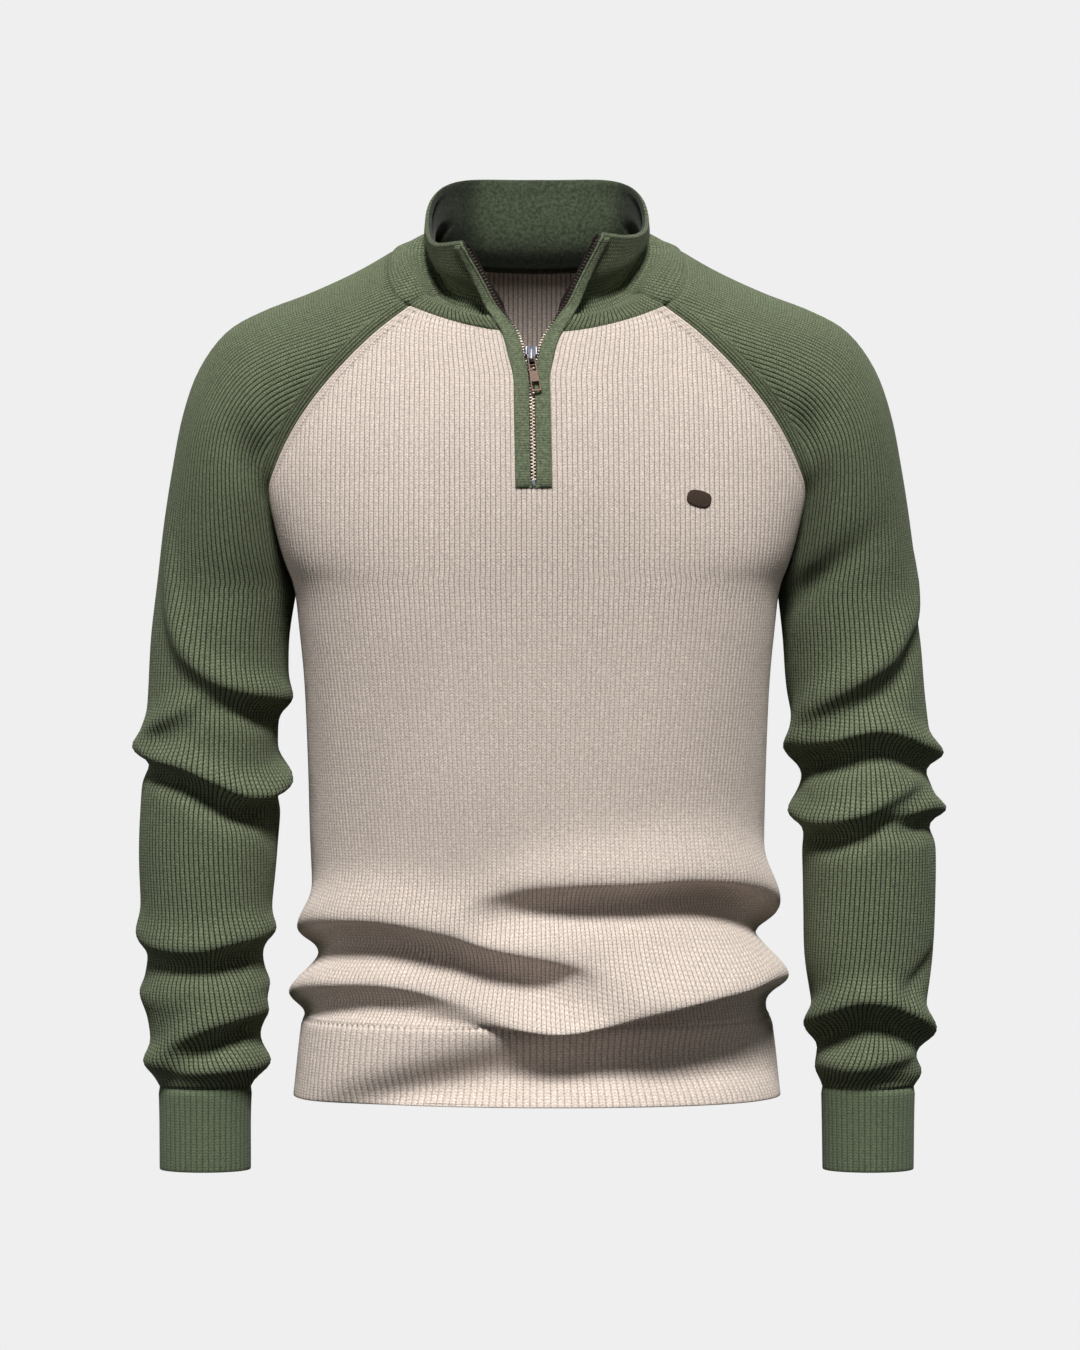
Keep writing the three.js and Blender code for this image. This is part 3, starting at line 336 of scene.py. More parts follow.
def foldShift(folds, angle, z, mmPerDegree):
    out = np.zeros(angle.shape)
    down = np.zeros(angle.shape)
    for rows in folds:
        fold = table(foldColumns, rows)
        first, last = fold["angle"].min(), fold["angle"].max()
        for turn in (-360, 0, 360):
            inside = (angle + turn >= first) & (angle + turn < last)
            if not inside.any():
                continue
            at = angle[inside] + turn
            read = {name: smoothAt(fold["angle"], values, at) for name, values in fold.items()}
            ahead, behind = (smoothAt(fold["angle"], fold["z"], at + step) for step in (1, -1))
            slope = (ahead - behind) / 2
            s = (z[inside] - read["z"]) / np.hypot(1, slope / mmPerDegree)
            atSide = smoothStep(np.abs(np.sin(np.radians(at))), 0.75, 1)
            crest = np.exp(-((s / np.where(s > 0, read["above"], read["below"] * (1 + 0.4 * atSide))) ** 2))
            hollow = np.exp(-(((s + 2.1 * read["below"]) / (1.25 * read["below"])) ** 2))
            height = read["rise"] * crest - 1.25 * read["hollow"] * (1 - 0.4 * atSide) * hollow
            out[inside] += height
            down[inside] += read["droop"] * (1 - 0.6 * atSide) * np.maximum(height, 0)
    return out, down


def unit(vectors):
    return vectors / np.maximum(np.linalg.norm(vectors, axis=-1, keepdims=True), 1e-9)


# Body surface: side is -1 on the front and 1 on the back
def bodyRows(side, heights, steps):
    name = "front" if side < 0 else "back"
    steps = np.asarray(steps, float)
    up = (underarmRow - steps) / underarmRow
    middleZ = smoothAt(raglanRows["k"], raglanRows["middleFrontZ" if side < 0 else "middleBackZ"], steps)
    top = {
        "z": smoothAt(raglanRows["k"], raglanRows[name + "Z"], steps),
        "centreZ": middleZ,
        "half": smoothAt(raglanRows["k"], raglanRows[name + "X"], steps),
        "edge": np.abs(smoothAt(raglanRows["k"], raglanRows[name + "Y"], steps)),
        "centre": smoothAt(bodySections["z"], bodySections[name], middleZ),
        "power": bodyRoundness + chestSquare * smoothStep(steps, 5, underarmRow),
        "blend": up * up * (3 - 2 * up),
        "k": steps,
    }
    heights = np.asarray(heights, float)
    low = {
        "z": heights,
        "centreZ": heights,
        "half": smoothAt(bodySections["z"], bodySections["half"], heights),
        "edge": np.zeros(len(heights)),
        "centre": smoothAt(bodySections["z"], bodySections[name], heights),
        "power": bodyRoundness + chestSquare * smoothStep(heights, -460, -250),
        "blend": np.zeros(len(heights)),
        "k": np.full(len(heights), float(underarmRow)),
    }
    return {key: np.concatenate([low[key], top[key]]) for key in low}


def bodySurface(side, rows, across):
    row = {key: value[:, None] for key, value in rows.items()}
    t = np.minimum(np.abs(across), 1)[None, :]
    x = across[None, :] * row["half"]
    z = row["centreZ"] + (row["z"] - row["centreZ"]) * t * t
    sharp = 1 / row["power"] + (0.9 - 1 / row["power"]) * row["blend"]
    y = side * (row["edge"] + (row["centre"] - row["edge"]) * (1 - t ** row["power"]) ** sharp)
    base = np.stack([x, y, z], -1)
    angle = np.degrees(np.arctan2(x / row["half"], -y / row["centre"]))
    out, down = foldShift(bodyFolds, angle, z, 2.6)
    ease = smoothStep(z, hemSeamZ, hemSeamZ + 5)
    outward = unit(np.stack([x / row["half"] ** 2, y / row["centre"] ** 2, np.zeros(x.shape)], -1))
    dent = foldShift(hemFolds, angle, z, 2.6)[0]
    folded = base + outward * (out * ease + dent)[..., None]
    folded[..., 2] -= down * ease
    return base, folded


# Sleeve surface: side is -1 on the left and 1 on the right
def sleeveRings(side, heights, steps):
    def read(name):
        return smoothAt(raglanRows["k"], raglanRows[name], np.asarray(steps, float))

    front = np.stack([side * read("frontX"), read("frontY"), read("frontZ")], -1)
    back = np.stack([side * read("backX"), read("backY"), read("backZ")], -1)
    chord = np.linalg.norm(front - back, axis=-1) / 2
    depth = read("depth")
    sections = sleeveSections[side]
    heights = np.asarray(heights, float)
    names = ("outer", "inner", "front", "back")
    outer, inner, near, far = (smoothAt(sections["z"], sections[name], heights) for name in names)
    y = (near + far) / 2
    forward = np.tile([0.0, -1.0, 0.0], (len(heights), 1))
    return {
        "middle": np.concatenate([np.stack([side * inner, y, heights], -1), (front + back) / 2]),
        "top": np.concatenate(
            [
                np.stack([side * outer, y, heights], -1),
                np.stack([side * read("topX"), 0 * chord, read("topZ")], -1),
            ]
        ),
        "forward": np.concatenate([forward, unit(front - back)]),
        "depth": np.concatenate([(far - near) / 2, depth]),
        "over": np.concatenate([np.ones(len(heights)), np.sqrt(np.maximum(0, 1 - (chord / depth) ** 2))]),
        "k": np.concatenate([np.full(len(heights), float(underarmRow)), steps]),
    }


def sleeveSurface(side, rings, along):
    over = rings["over"][:, None]
    start = -np.arcsin(over)
    turn = start + (math.pi - 2 * start) * along[None, :]
    reach = (rings["top"] - rings["middle"])[:, None, :]
    middle = rings["middle"][:, None, :]
    share = ((np.sin(turn) + over) / (1 + over))[..., None]
    forward = rings["forward"][:, None, :] * (rings["depth"][:, None] * np.cos(turn))[..., None]
    base = middle + reach * share + forward
    centre = middle + reach * (over / (1 + over))[..., None]
    z = base[..., 2]
    out, down = foldShift(sleeveFolds[side], np.broadcast_to(np.degrees(turn), z.shape), z, 0.95)
    border = np.minimum(along, 1 - along)[None, :]
    openRing = 1 - over**2 > 0.001
    ease = smoothStep(z, cuffSeamZ, cuffSeamZ + 7) * np.where(openRing, smoothStep(border, 0, 0.08), 1)
    folded = base + unit(base - centre) * (out * ease)[..., None]
    folded[..., 2] -= down * ease
    return base, folded


def arcFrom(points, start):
    steps = np.linalg.norm(np.diff(points, axis=1), axis=-1)
    arc = np.concatenate([np.zeros((len(points), 1)), np.cumsum(steps, axis=1)], axis=1)
    return arc - arc[:, start : start + 1]


def surfaceNormals(points):
    return unit(np.cross(np.gradient(points, axis=1), np.gradient(points, axis=0)))


def alongRows(values, arc, target):
    read = np.empty(target.shape + (values.shape[-1],))
    for r in range(len(values)):
        for i in range(values.shape[-1]):
            read[r, :, i] = np.interp(target[r], arc[r], values[r, :, i])
    return read


# Making meshes
def meshObject(name, bm):
    mesh = bpy.data.meshes.new(name)
    bm.to_mesh(mesh)
    bm.free()
    piece = bpy.data.objects.new(name, mesh)
    bpy.context.scene.collection.objects.link(piece)
    return piece


def clothGrid(name, points, wale, course, mark=None, skip=None, materialIndex=None):
    rowCount, columnCount = points.shape[:2]
    bm = bmesh.new()
    bmesh.ops.create_grid(bm, x_segments=columnCount - 1, y_segments=rowCount - 1, size=1)
    piece = meshObject(name, bm)
    mesh = piece.data
    mesh.vertices.foreach_set("co", (points * mm).astype(np.float32).ravel())
    corners = np.empty(len(mesh.loops), np.int32)
    mesh.loops.foreach_get("vertex_index", corners)
    size = (rowCount, columnCount)
    knit = np.stack([np.broadcast_to(wale, size), np.broadcast_to(course, size)], -1)
    layer = mesh.uv_layers.new(name="knit")
    layer.data.foreach_set("uv", knit.reshape(-1, 2)[corners].astype(np.float32).ravel())
    marks = mesh.attributes.new("mark", "FLOAT", "POINT")
    if mark is not None:
        marks.data.foreach_set("value", mark.astype(np.float32).ravel())
    if materialIndex is not None:
        mesh.polygons.foreach_set("material_index", materialIndex.astype(np.int32).ravel())
    bm = bmesh.new()
    bm.from_mesh(mesh)
    if skip is not None:
        bm.faces.ensure_lookup_table()
        gone = [bm.faces[i] for i in np.flatnonzero(skip.ravel())]
        bmesh.ops.delete(bm, geom=gone, context="FACES")
    bmesh.ops.remove_doubles(bm, verts=bm.verts, dist=1e-6)
    bmesh.ops.dissolve_degenerate(bm, dist=1e-7, edges=bm.edges)
    bm.to_mesh(mesh)
    bm.free()
    mesh.shade_smooth()
    return piece


def giveThickness(piece, thickness):
    wall = piece.modifiers.new("wall", "SOLIDIFY")
    wall.thickness = thickness * mm
    wall.offset = -1
    wall.use_rim = True


# Materials
class Nodes:
    def __init__(self, name):
        self.material = bpy.data.materials.new(name)
        self.material.use_nodes = True
        self.tree = self.material.node_tree
        self.shader = self.tree.nodes["Principled BSDF"]

    def add(self, kind, inputs=(), **settings):
        made = self.tree.nodes.new(kind)
        for key, value in settings.items():
            setattr(made, key, value)
        for key, value in dict(inputs).items():
            self.feed(made.inputs[key], value)
        return made.outputs

    def feed(self, socket, value):
        if isinstance(value, bpy.types.NodeSocket):
            self.tree.links.new(value, socket)
        else:
            socket.default_value = value

    def math(self, operation, a, b=0.0):
        return self.add("ShaderNodeMath", {0: a, 1: b}, operation=operation)[0]

    def ramp(self, value, low, high, outLow=0.0, outHigh=1.0):
        inputs = {"Value": value, "From Min": low, "From Max": high, "To Min": outLow, "To Max": outHigh}
        return self.add("ShaderNodeMapRange", inputs, interpolation_type="SMOOTHSTEP")["Result"]

    def mixColour(self, share, a, b, blend="MIX"):
        made = self.tree.nodes.new("ShaderNodeMix")
        made.data_type = "RGBA"
        made.blend_type = blend
        for socket, value in zip((made.inputs[0], made.inputs[6], made.inputs[7]), (share, a, b)):
            self.feed(socket, value)
        return made.outputs[2]

    def place(self):
        return self.add("ShaderNodeSeparateXYZ", {0: self.add("ShaderNodeTexCoord")["Object"]})

    def noise(self, scale, detail=2.0, rough=0.5):
        place = self.add("ShaderNodeTexCoord")["Object"]
        inputs = {"Vector": place, "Scale": scale, "Detail": detail, "Roughness": rough}
        return self.add("ShaderNodeTexNoise", inputs)[0]


def colour(red, green, blue):
    shares = [c / 255 for c in (red, green, blue)]
    return tuple(((c + 0.055) / 1.055) ** 2.4 if c > 0.04 else c / 12.92 for c in shares) + (1.0,)


# Knit: wales run along the first coordinate of the knit map, one unit each, and courses along the second.
# The ribs fade to a plainer knit at the waist. The grooves between ribs and the marked eyes are painted
# shade, mixed towards the shadow colour, and the lines between courses are painted shade as well.
def knitMaterial(name, look):
    n = Nodes(name)
    where = n.add("ShaderNodeSeparateXYZ", {0: n.add("ShaderNodeUVMap", uv_map="knit")[0]})
    fromTop = n.math("ABSOLUTE", n.math("SUBTRACT", n.math("FRACT", where[0]), 0.5))
    groove = n.ramp(fromTop, 0.5 - look["grooveWidth"], 0.47)
    loop = n.math("FRACT", n.math("ADD", where[1], n.math("MULTIPLY", fromTop, look["slant"])))
    stitch = n.ramp(n.math("SINE", n.math("MULTIPLY", loop, math.pi)), 0.0, 0.75)
    yarn = n.noise(look["yarnScale"], 3.0, 0.65)
    broad = n.noise(9.0, 2.0)
    mark = n.add("ShaderNodeAttribute", attribute_name="mark")["Fac"]
    place = n.place()
    ribbed = n.math("MAXIMUM", n.ramp(place[2], -0.34, -0.2), n.ramp(place[2], -0.475, -0.43, 1.0, 0.0))
    plainGroove = look["grooveDark"] * look["plainShare"]
    groove = n.math("MULTIPLY", groove, n.ramp(ribbed, 0.0, 1.0, plainGroove, look["grooveDark"]))
    dark = n.math("MAXIMUM", groove, n.math("MULTIPLY", mark, n.math("SUBTRACT", 1.2, stitch)))
    tint = n.mixColour(dark, colour(*look["colour"]), colour(*look["shadow"]))
    grain = n.ramp(yarn, 0.28, 0.72, 1 - look["wool"], 1 + 0.7 * look["wool"])
    light = n.math("MULTIPLY", n.ramp(stitch, 0.0, 1.0, look["stitchDark"], 1.0), grain)
    light = n.math("MULTIPLY", light, n.ramp(broad, 0.2, 0.8, 0.95, 1.05))
    # Painted shade: the collar's inside is darkened towards its sides and its base, where the collar shades
    # it
    if "deepShade" in look:
        deep = look["deepShade"]
        fromMiddle = n.math("ABSOLUTE", n.math("SUBTRACT", place[0], deep["middleX"]))
        light = n.math("MULTIPLY", light, n.ramp(fromMiddle, *deep["sides"], 1.0, deep["left"]))
        light = n.math("MULTIPLY", light, n.ramp(place[2], *deep["base"], deep["left"], 1.0))
    grey = n.add("ShaderNodeCombineColor", {0: light, 1: light, 2: light})[0]
    n.feed(n.shader.inputs["Base Color"], n.mixColour(1.0, tint, grey, "MULTIPLY"))
    height = n.math("ADD", n.math("MULTIPLY", stitch, look["stitchBump"]), n.math("MULTIPLY", yarn, 0.7))
    height = n.math("SUBTRACT", height, n.math("MULTIPLY", dark, 0.8))
    bump = n.add("ShaderNodeBump", {"Strength": look["bump"], "Distance": 0.0006, "Height": height})
    n.feed(n.shader.inputs["Normal"], bump["Normal"])
    n.shader.inputs["Roughness"].default_value = 0.92
    n.shader.inputs["Specular IOR Level"].default_value = 0.25
    n.shader.inputs["Sheen Weight"].default_value = look["sheen"]
    n.shader.inputs["Sheen Roughness"].default_value = 0.55
    return n.material


def metalMaterial(name, look):
    n = Nodes(name)
    wear = n.noise(look["wearScale"], 4.0, 0.6)
    tint = n.mixColour(n.ramp(wear, 0.35, 0.65), colour(*look["dark"]), colour(*look["light"]))
    # Painted shade: above a given height, where the teeth run up the collar, they are mixed towards a dark
    # shade colour
    if "paintedShade" in look:
        tint = n.mixColour(n.ramp(n.place()[2], *look["paintedShadeFrom"]), tint, colour(*look["paintedShade"]))
    n.feed(n.shader.inputs["Base Color"], tint)
    n.feed(n.shader.inputs["Roughness"], n.ramp(wear, 0.3, 0.7, look["rough"], look["rough"] + 0.15))
    n.shader.inputs["Metallic"].default_value = look["metallic"]
    return n.material


ribKnit = {
    "grooveWidth": 0.2, "grooveDark": 0.5, "wool": 0.1, "plainShare": 1.0, "stitchDark": 0.74,
    "stitchBump": 0.5, "slant": 0.0, "yarnScale": 900.0, "bump": 0.5, "sheen": 0.1,
}
knitLook = {
    "bodyKnit": {
        "colour": (226, 211, 199), "shadow": (112, 92, 80), "grooveWidth": 0.14, "grooveDark": 0.66,
        "wool": 0.36, "plainShare": 0.55, "slant": 1.0, "yarnScale": 1000.0, "sheen": 0.15,
    },
    "sleeveKnit": {
        "colour": (116, 126, 97), "shadow": (12, 16, 10), "grooveDark": 0.95, "wool": 0.5,
        "stitchDark": 0.46, "stitchBump": 0.6, "slant": 0.9, "bump": 0.6, "sheen": 0.05,
    },
    # The collar's inside is the same green yarn, painted darker than the outside as shade, with more painted
    # shade towards its sides and base
    "collarInside": {
        "colour": (68, 78, 58), "shadow": (30, 38, 26), "grooveDark": 0.0, "wool": 0.5,
        "stitchDark": 1.0, "stitchBump": 0.0, "yarnScale": 420.0, "bump": 1.0,
        "deepShade": {"middleX": 0.008, "sides": (0.044, 0.064), "base": (0.004, 0.022), "left": 0.35},
    },
    "hemKnit": {
        "colour": (226, 211, 199), "shadow": (112, 92, 80), "grooveDark": 0.42, "wool": 0.3,
        "stitchBump": 0.4, "slant": 1.0, "yarnScale": 750.0, "sheen": 0.15,
    },
    "cuffKnit": {
        "colour": (102, 115, 88), "shadow": (26, 32, 22), "wool": 0.35, "stitchDark": 0.6,
        "slant": 0.9, "sheen": 0.12,
    },
    "placketRibbon": {
        "colour": (107, 117, 91), "shadow": (44, 54, 38), "grooveWidth": 0.06, "grooveDark": 0.2,
        "wool": 0.45, "stitchDark": 0.6, "stitchBump": 0.6, "yarnScale": 520.0,
    },
    "zipTapeWeave": {
        "colour": (30, 20, 16), "shadow": (10, 8, 7), "stitchDark": 0.7, "slant": 0.5, "bump": 0.3,
    },
    "patchThread": {
        "colour": (74, 57, 46), "shadow": (24, 18, 14), "grooveWidth": 0.3, "grooveDark": 0.7,
        "stitchDark": 0.9, "stitchBump": 0.2, "slant": 0.3, "bump": 0.7,
    },
}
metalLook = {
    # The teeth on the collar are darkened by painted shade above the height range given with it
    "teethMetal": {
        "dark": (200, 180, 160), "light": (250, 238, 222), "rough": 0.45, "wearScale": 300.0,
        "metallic": 0.2, "paintedShade": (74, 62, 54), "paintedShadeFrom": (-0.066, -0.048),
    },
    "sliderMetal": {
        "dark": (92, 93, 100), "light": (170, 171, 177), "rough": 0.44, "wearScale": 200.0, "metallic": 1.0,
    },
    "sliderShade": {
        "dark": (34, 35, 40), "light": (70, 71, 78), "rough": 0.36, "wearScale": 200.0, "metallic": 1.0,
    },
    "pullMetal": {
        "dark": (52, 43, 37), "light": (84, 71, 62), "rough": 0.42, "wearScale": 160.0, "metallic": 1.0,
    },
}
finish = {name: knitMaterial(name, ribKnit | look) for name, look in knitLook.items()}
finish |= {name: metalMaterial(name, look) for name, look in metalLook.items()}
print("materials made")

# Ribs of the panels: pitch and depth of one wale, and the plain band along the raglan seams
ribs = {"pitch": 3.7, "steps": [0, 0.22, 0.78], "seamDip": 1.1, "seamReach": 2.0, "coursePitch": 2.1}
ribDepth = {"body": 0.5, "sleeve": 0.6}
band = {"body": {"width": 8.4, "wales": 3}, "sleeve": {"width": 9.0, "wales": 4}}


def waleSteps(wales):
    return np.append((np.arange(wales)[:, None] + np.array(ribs["steps"])[None, :]).ravel(), wales)


def slitEdge(z, sign):
    half = smoothAt(zipOpening["z"], zipOpening["half"], z) + placketOverhang
    return smoothAt(zipOpening["z"], zipOpening["middle"], z) + sign * half


# Lays the columns of one panel on its rows: upright wales that stop at the band, and the band at the seam
def layColumns(leftReach, rightReach, pitch, bandShare, bandSizes, wales):
    steps = waleSteps(wales)
    bandSteps = waleSteps(bandSizes["wales"])[1:]
    width = bandSizes["width"] * bandShare
    target, wale, groove = [], [], []
    for sign, reach in ((-1, leftReach), (1, rightReach)):
        end = (reach - width)[:, None]
        inner = np.minimum(steps[None, :] * pitch[:, None], end)
        free = smoothStep(end - steps[None, :] * pitch[:, None], 0.3, 2.0)
        outer = end + width[:, None] * bandSteps[None, :] / bandSizes["wales"]
        bandGroove = (bandSteps % 1 == 0) * 0.7
        bandGroove[-1] = 0
        side = np.concatenate([inner, outer], 1)
        sideGroove = np.concatenate([(steps % 1 == 0) * free, bandGroove[None, :] * bandShare[:, None]], 1)
        sideWale = np.concatenate([sign * steps, sign * (1000 + bandSteps)])
        if sign < 0:
            side, sideGroove, sideWale = side[:, ::-1], sideGroove[:, ::-1], sideWale[::-1]
        target.append(sign * side)
        wale.append(sideWale)
        groove.append(sideGroove)
    return target, wale, groove


def rowDistances(points, column):
    return np.concatenate([[0], np.cumsum(np.linalg.norm(np.diff(points[:, column], axis=0), axis=-1))])


yokeSteps = np.linspace(8.8, 0, 38)
bodyHeights = np.concatenate([np.linspace(hemSeamZ, -440, 48), np.linspace(-433, -244, 28)])
sleeveHeights = np.concatenate([np.linspace(cuffSeamZ, -300, 88), np.linspace(-294, -244, 10)])
middleColumn = 360


def densePanels():
    turns = np.linspace(-math.pi / 2, math.pi / 2, 2 * middleColumn + 1)
    panels = {}
    for side in (-1, 1):
        rows = bodyRows(side, bodyHeights, yokeSteps)
        panels["body", side] = (rows, *bodySurface(side, rows, np.sin(turns) * -side))
        rings = sleeveRings(side, sleeveHeights, yokeSteps)
        along = np.linspace(0, 1, 2 * middleColumn + 1)[::side]
        panels["sleeve", side] = (rings, *sleeveSurface(side, rings, along))
    return panels


# Softens the turn at the underarm, away from the seams
def easeUnderarm(points, base, underarm, reach, arc):
    down = rowDistances(base, middleColumn)
    near = np.exp(-(((down[:, None] - down[None, :]) / 13) ** 2))
    near = near / near.sum(axis=1, keepdims=True)
    eased = np.einsum("ij,jkl->ikl", near, points)
    fromSeam = np.minimum(arc + reach[0][:, None], reach[1][:, None] - arc)
    share = np.exp(-(((down - down[underarm]) / 34) ** 2))[:, None] * smoothStep(fromSeam, 0, 26)
    return points + (eased - points) * share[..., None]


dense = densePanels()
facing = {key: surfaceNormals(panel[2]) for key, panel in dense.items()}
yokeStart = {"body": len(bodyHeights) - 1, "sleeve": len(sleeveHeights) - 1}


# The direction out of the cloth at a seam is shared by the pieces that meet there
def seamFacing(kind, side, end):
    own = facing[kind, side]
    other = np.array(own[:, end])
    start = yokeStart[kind]
    if kind == "body":
        x = side if end == 0 else -side
        sleeve = facing["sleeve", x]
        edge = 0 if (x > 0) == (side < 0) else -1
        other[start + 1 :] = sleeve[yokeStart["sleeve"] + 1 :, edge]
        other[: start + 1] = facing["body", -side][: start + 1, -1 - end]
    else:
        front = (end == 0) == (side > 0)
        body = facing["body", -1 if front else 1]
        edge = (-1 if side > 0 else 0) if front else (0 if side > 0 else -1)
        other[start + 1 :] = body[yokeStart["body"] + 1 :, edge]
        other[: start + 1] = own[: start + 1, -1 - end]
    return unit(own[:, end] + other)


def finishPanel(name, kind, side, target, wale, groove, reach, mark, skip):
    rows, base, folded = dense[kind, side]
    arc = arcFrom(base, middleColumn)
    eased = easeUnderarm(folded, base, yokeStart[kind], reach, arc)
    points = alongRows(eased, arc, target)
    out = alongRows(surfaceNormals(eased), arc, target)
    for end, near in ((0, target + reach[0][:, None]), (-1, reach[1][:, None] - target)):
        share = np.exp(-((near / 5) ** 2))[..., None]
        out = out * (1 - share) + seamFacing(kind, side, end)[:, None, :] * share
    out = unit(out)
    fromSeam = np.minimum(target + reach[0][:, None], reach[1][:, None] - target)
    down = rowDistances(base, middleColumn)
    fromEnds = np.minimum(down, down[-1] - down)[:, None]
    dip = np.exp(-((fromSeam / ribs["seamReach"]) ** 2)) + np.exp(-((fromEnds / ribs["seamReach"]) ** 2))
    depth = ribDepth[kind] * groove * smoothStep(fromEnds, 0, 3) + ribs["seamDip"] * np.minimum(dip, 1)
    points = points - out * depth[..., None]
    piece = clothGrid(name, points, wale, (down / ribs["coursePitch"])[:, None], mark, skip)
    giveThickness(piece, clothThickness)
    return piece


# Small dark eyes where each wale is narrowed away at the band; their darkness is painted shade in the knit
def dots(fromSeam, width):
    return np.exp(-(((fromSeam - width) / 0.8) ** 2)) * (width > 1)


def bodyPanel(name, side):
    rows, base, _ = dense["body", side]
    reach = arcFrom(base, middleColumn)[:, -1]
    underarm = yokeStart["body"]
    wales = round(reach[underarm] / ribs["pitch"])
    yoke = rows["k"] < underarmRow
    pitch = np.where(yoke, reach[underarm] / wales, reach / wales)
    bandShare = smoothStep(underarmRow - rows["k"], 0, 0.8)
    target, wale, groove = layColumns(reach, reach, pitch, bandShare, band["body"], wales)
    skip = None
    if side < 0:
        split = 2
        parts = [
            (target[0][:, :-split], wale[0][:-split], groove[0][:, :-split]),
            (
                np.concatenate([target[0][:, -1 - split : -1], target[1]], 1),
                np.concatenate([wale[0][-1 - split : -1], wale[1]]),
                np.concatenate([groove[0][:, -1 - split : -1], groove[1]], 1),
            ),
        ]
        slit = rows["centreZ"] > placketBottomZ
        limit = (reach - band["body"]["width"] * bandShare)[:, None]
        laid = []
        for sign, (part, partWale, partGroove) in zip((-1, 1), parts):
            closed = slitEdge(np.array([placketBottomZ]), sign)
            edge = slitEdge(rows["centreZ"], sign)[:, None]
            past = sign * (part - closed)
            shifted = np.where(past < 0, edge, part + (edge - closed) * np.exp(-np.maximum(past, 0) / 60))
            shifted = sign * np.minimum(sign * shifted, limit)
            shifted = np.where(np.abs(partWale)[None, :] > 999, part, shifted)
            laid.append(np.where(slit[:, None], shifted, part))
            partGroove *= np.where(slit[:, None], smoothStep(np.abs(shifted - edge), 0.5, 2.5), 1)
        target = np.concatenate(laid, 1)
        wale = np.concatenate([part[1] for part in parts])
        groove = np.concatenate([part[2] for part in parts], 1)
        skip = np.zeros((len(target) - 1, target.shape[1] - 1), bool)
        skip[:, laid[0].shape[1] - 1] = slit[1:]
    else:
        target = np.concatenate([target[0], target[1][:, 1:]], 1)
        wale = np.concatenate([wale[0], wale[1][1:]])
        groove = np.concatenate([groove[0], groove[1][:, 1:]], 1)
    fromSeam = reach[:, None] - np.abs(target)
    width = band["body"]["width"] * bandShare[:, None]
    mark = np.maximum(dots(fromSeam, width), 0.7 * dots(fromSeam, width * 0.45))
    return finishPanel(name, "body", side, target, wale, groove, (reach, reach), mark, skip)


front = bodyPanel("knitFront", -1)
back = bodyPanel("knitBack", 1)
print("body panels", len(front.data.polygons), len(back.data.polygons))


def sleevePanel(name, side):
    rings, base, _ = dense["sleeve", side]
    arc = arcFrom(base, middleColumn)
    reach = (-arc[:, 0], arc[:, -1])
    wales = math.ceil(max(reach[0].max(), reach[1].max()) / ribs["pitch"])
    pitch = np.full(len(arc), ribs["pitch"])
    bandShare = smoothStep(underarmRow - rings["k"], 0, 0.8)
    target, wale, groove = layColumns(*reach, pitch, bandShare, band["sleeve"], wales)
    target = np.concatenate([target[0], target[1][:, 1:]], 1)
    wale = np.concatenate([wale[0], wale[1][1:]])
    groove = np.concatenate([groove[0], groove[1][:, 1:]], 1)
    return finishPanel(name, "sleeve", side, target, wale, groove, reach, None, None)


sleeveLeft = sleevePanel("knitSleeveLeft", -1)
sleeveRight = sleevePanel("knitSleeveRight", 1)
print("sleeves", len(sleeveLeft.data.polygons), len(sleeveRight.data.polygons))

# Bands knitted in rib: the lower edge is rounded and turns in
bandRib = {"perRib": 4, "edgeRound": 1.6, "rows": 13, "edgeRows": 4, "edgeHeight": 2, "seamDip": 0.9}
bandKinds = {
    "hem": {"ribs": 96, "depth": 0.7, "topZ": hemSeamZ, "bottomZ": hemZ, "closed": False},
    "cuff": {"ribs": 44, "depth": 0.5, "topZ": cuffSeamZ, "bottomZ": cuffZ, "closed": True},
}


def evenly(line, count):
    steps = np.concatenate([[0], np.cumsum(np.linalg.norm(np.diff(line, axis=0), axis=-1))])
    at = np.linspace(0, steps[-1], count)
    return np.stack([np.interp(at, steps, line[:, i]) for i in range(line.shape[1])], -1)


def ribbedBand(name, kind, outlineAt, folds=None):
    sizes = bandKinds[kind]
    bottomZ, ribCount = sizes["bottomZ"], sizes["ribs"]
    upright = np.linspace(bottomZ + bandRib["edgeHeight"], sizes["topZ"], bandRib["rows"])
    heights = np.concatenate([np.full(bandRib["edgeRows"], bottomZ), upright])
    turn = np.linspace(math.pi / 2, 0, bandRib["edgeRows"] + 1)[:-1]
    columns = ribCount * bandRib["perRib"] + 1
    lines = np.stack([evenly(outlineAt(z), columns) for z in heights])
    tangent = unit(np.gradient(lines, axis=1))
    out = np.stack([tangent[..., 1], -tangent[..., 0], np.zeros(tangent.shape[:2])], -1)
    phase = np.arange(columns) / bandRib["perRib"]
    wave = -sizes["depth"] * (0.5 + 0.5 * np.cos(2 * math.pi * phase)) ** 2
    if not sizes["closed"]:
        wave = wave * smoothStep(np.minimum(phase, ribCount - phase), 0, 0.5)
    shift = np.tile(wave, (len(heights), 1))
    r = bandRib["edgeRound"]
    for i, t in enumerate(turn):
        lines[i, :, 2] = bottomZ + r * (1 - math.sin(t)) * 0.5
        shift[i] = shift[i] - r * (1 - math.cos(t))
    shift[-1] -= bandRib["seamDip"]
    if folds:
        angle = np.degrees(np.arctan2(lines[..., 0] / 176, -lines[..., 1] / 113))
        shift = shift + foldShift(folds, angle, lines[..., 2], 2.6)[0]
    points = lines + out * shift[..., None]
    course = (heights / ribs["coursePitch"])[:, None]
    piece = clothGrid(name, points, phase, course)
    giveThickness(piece, clothThickness)
    return piece


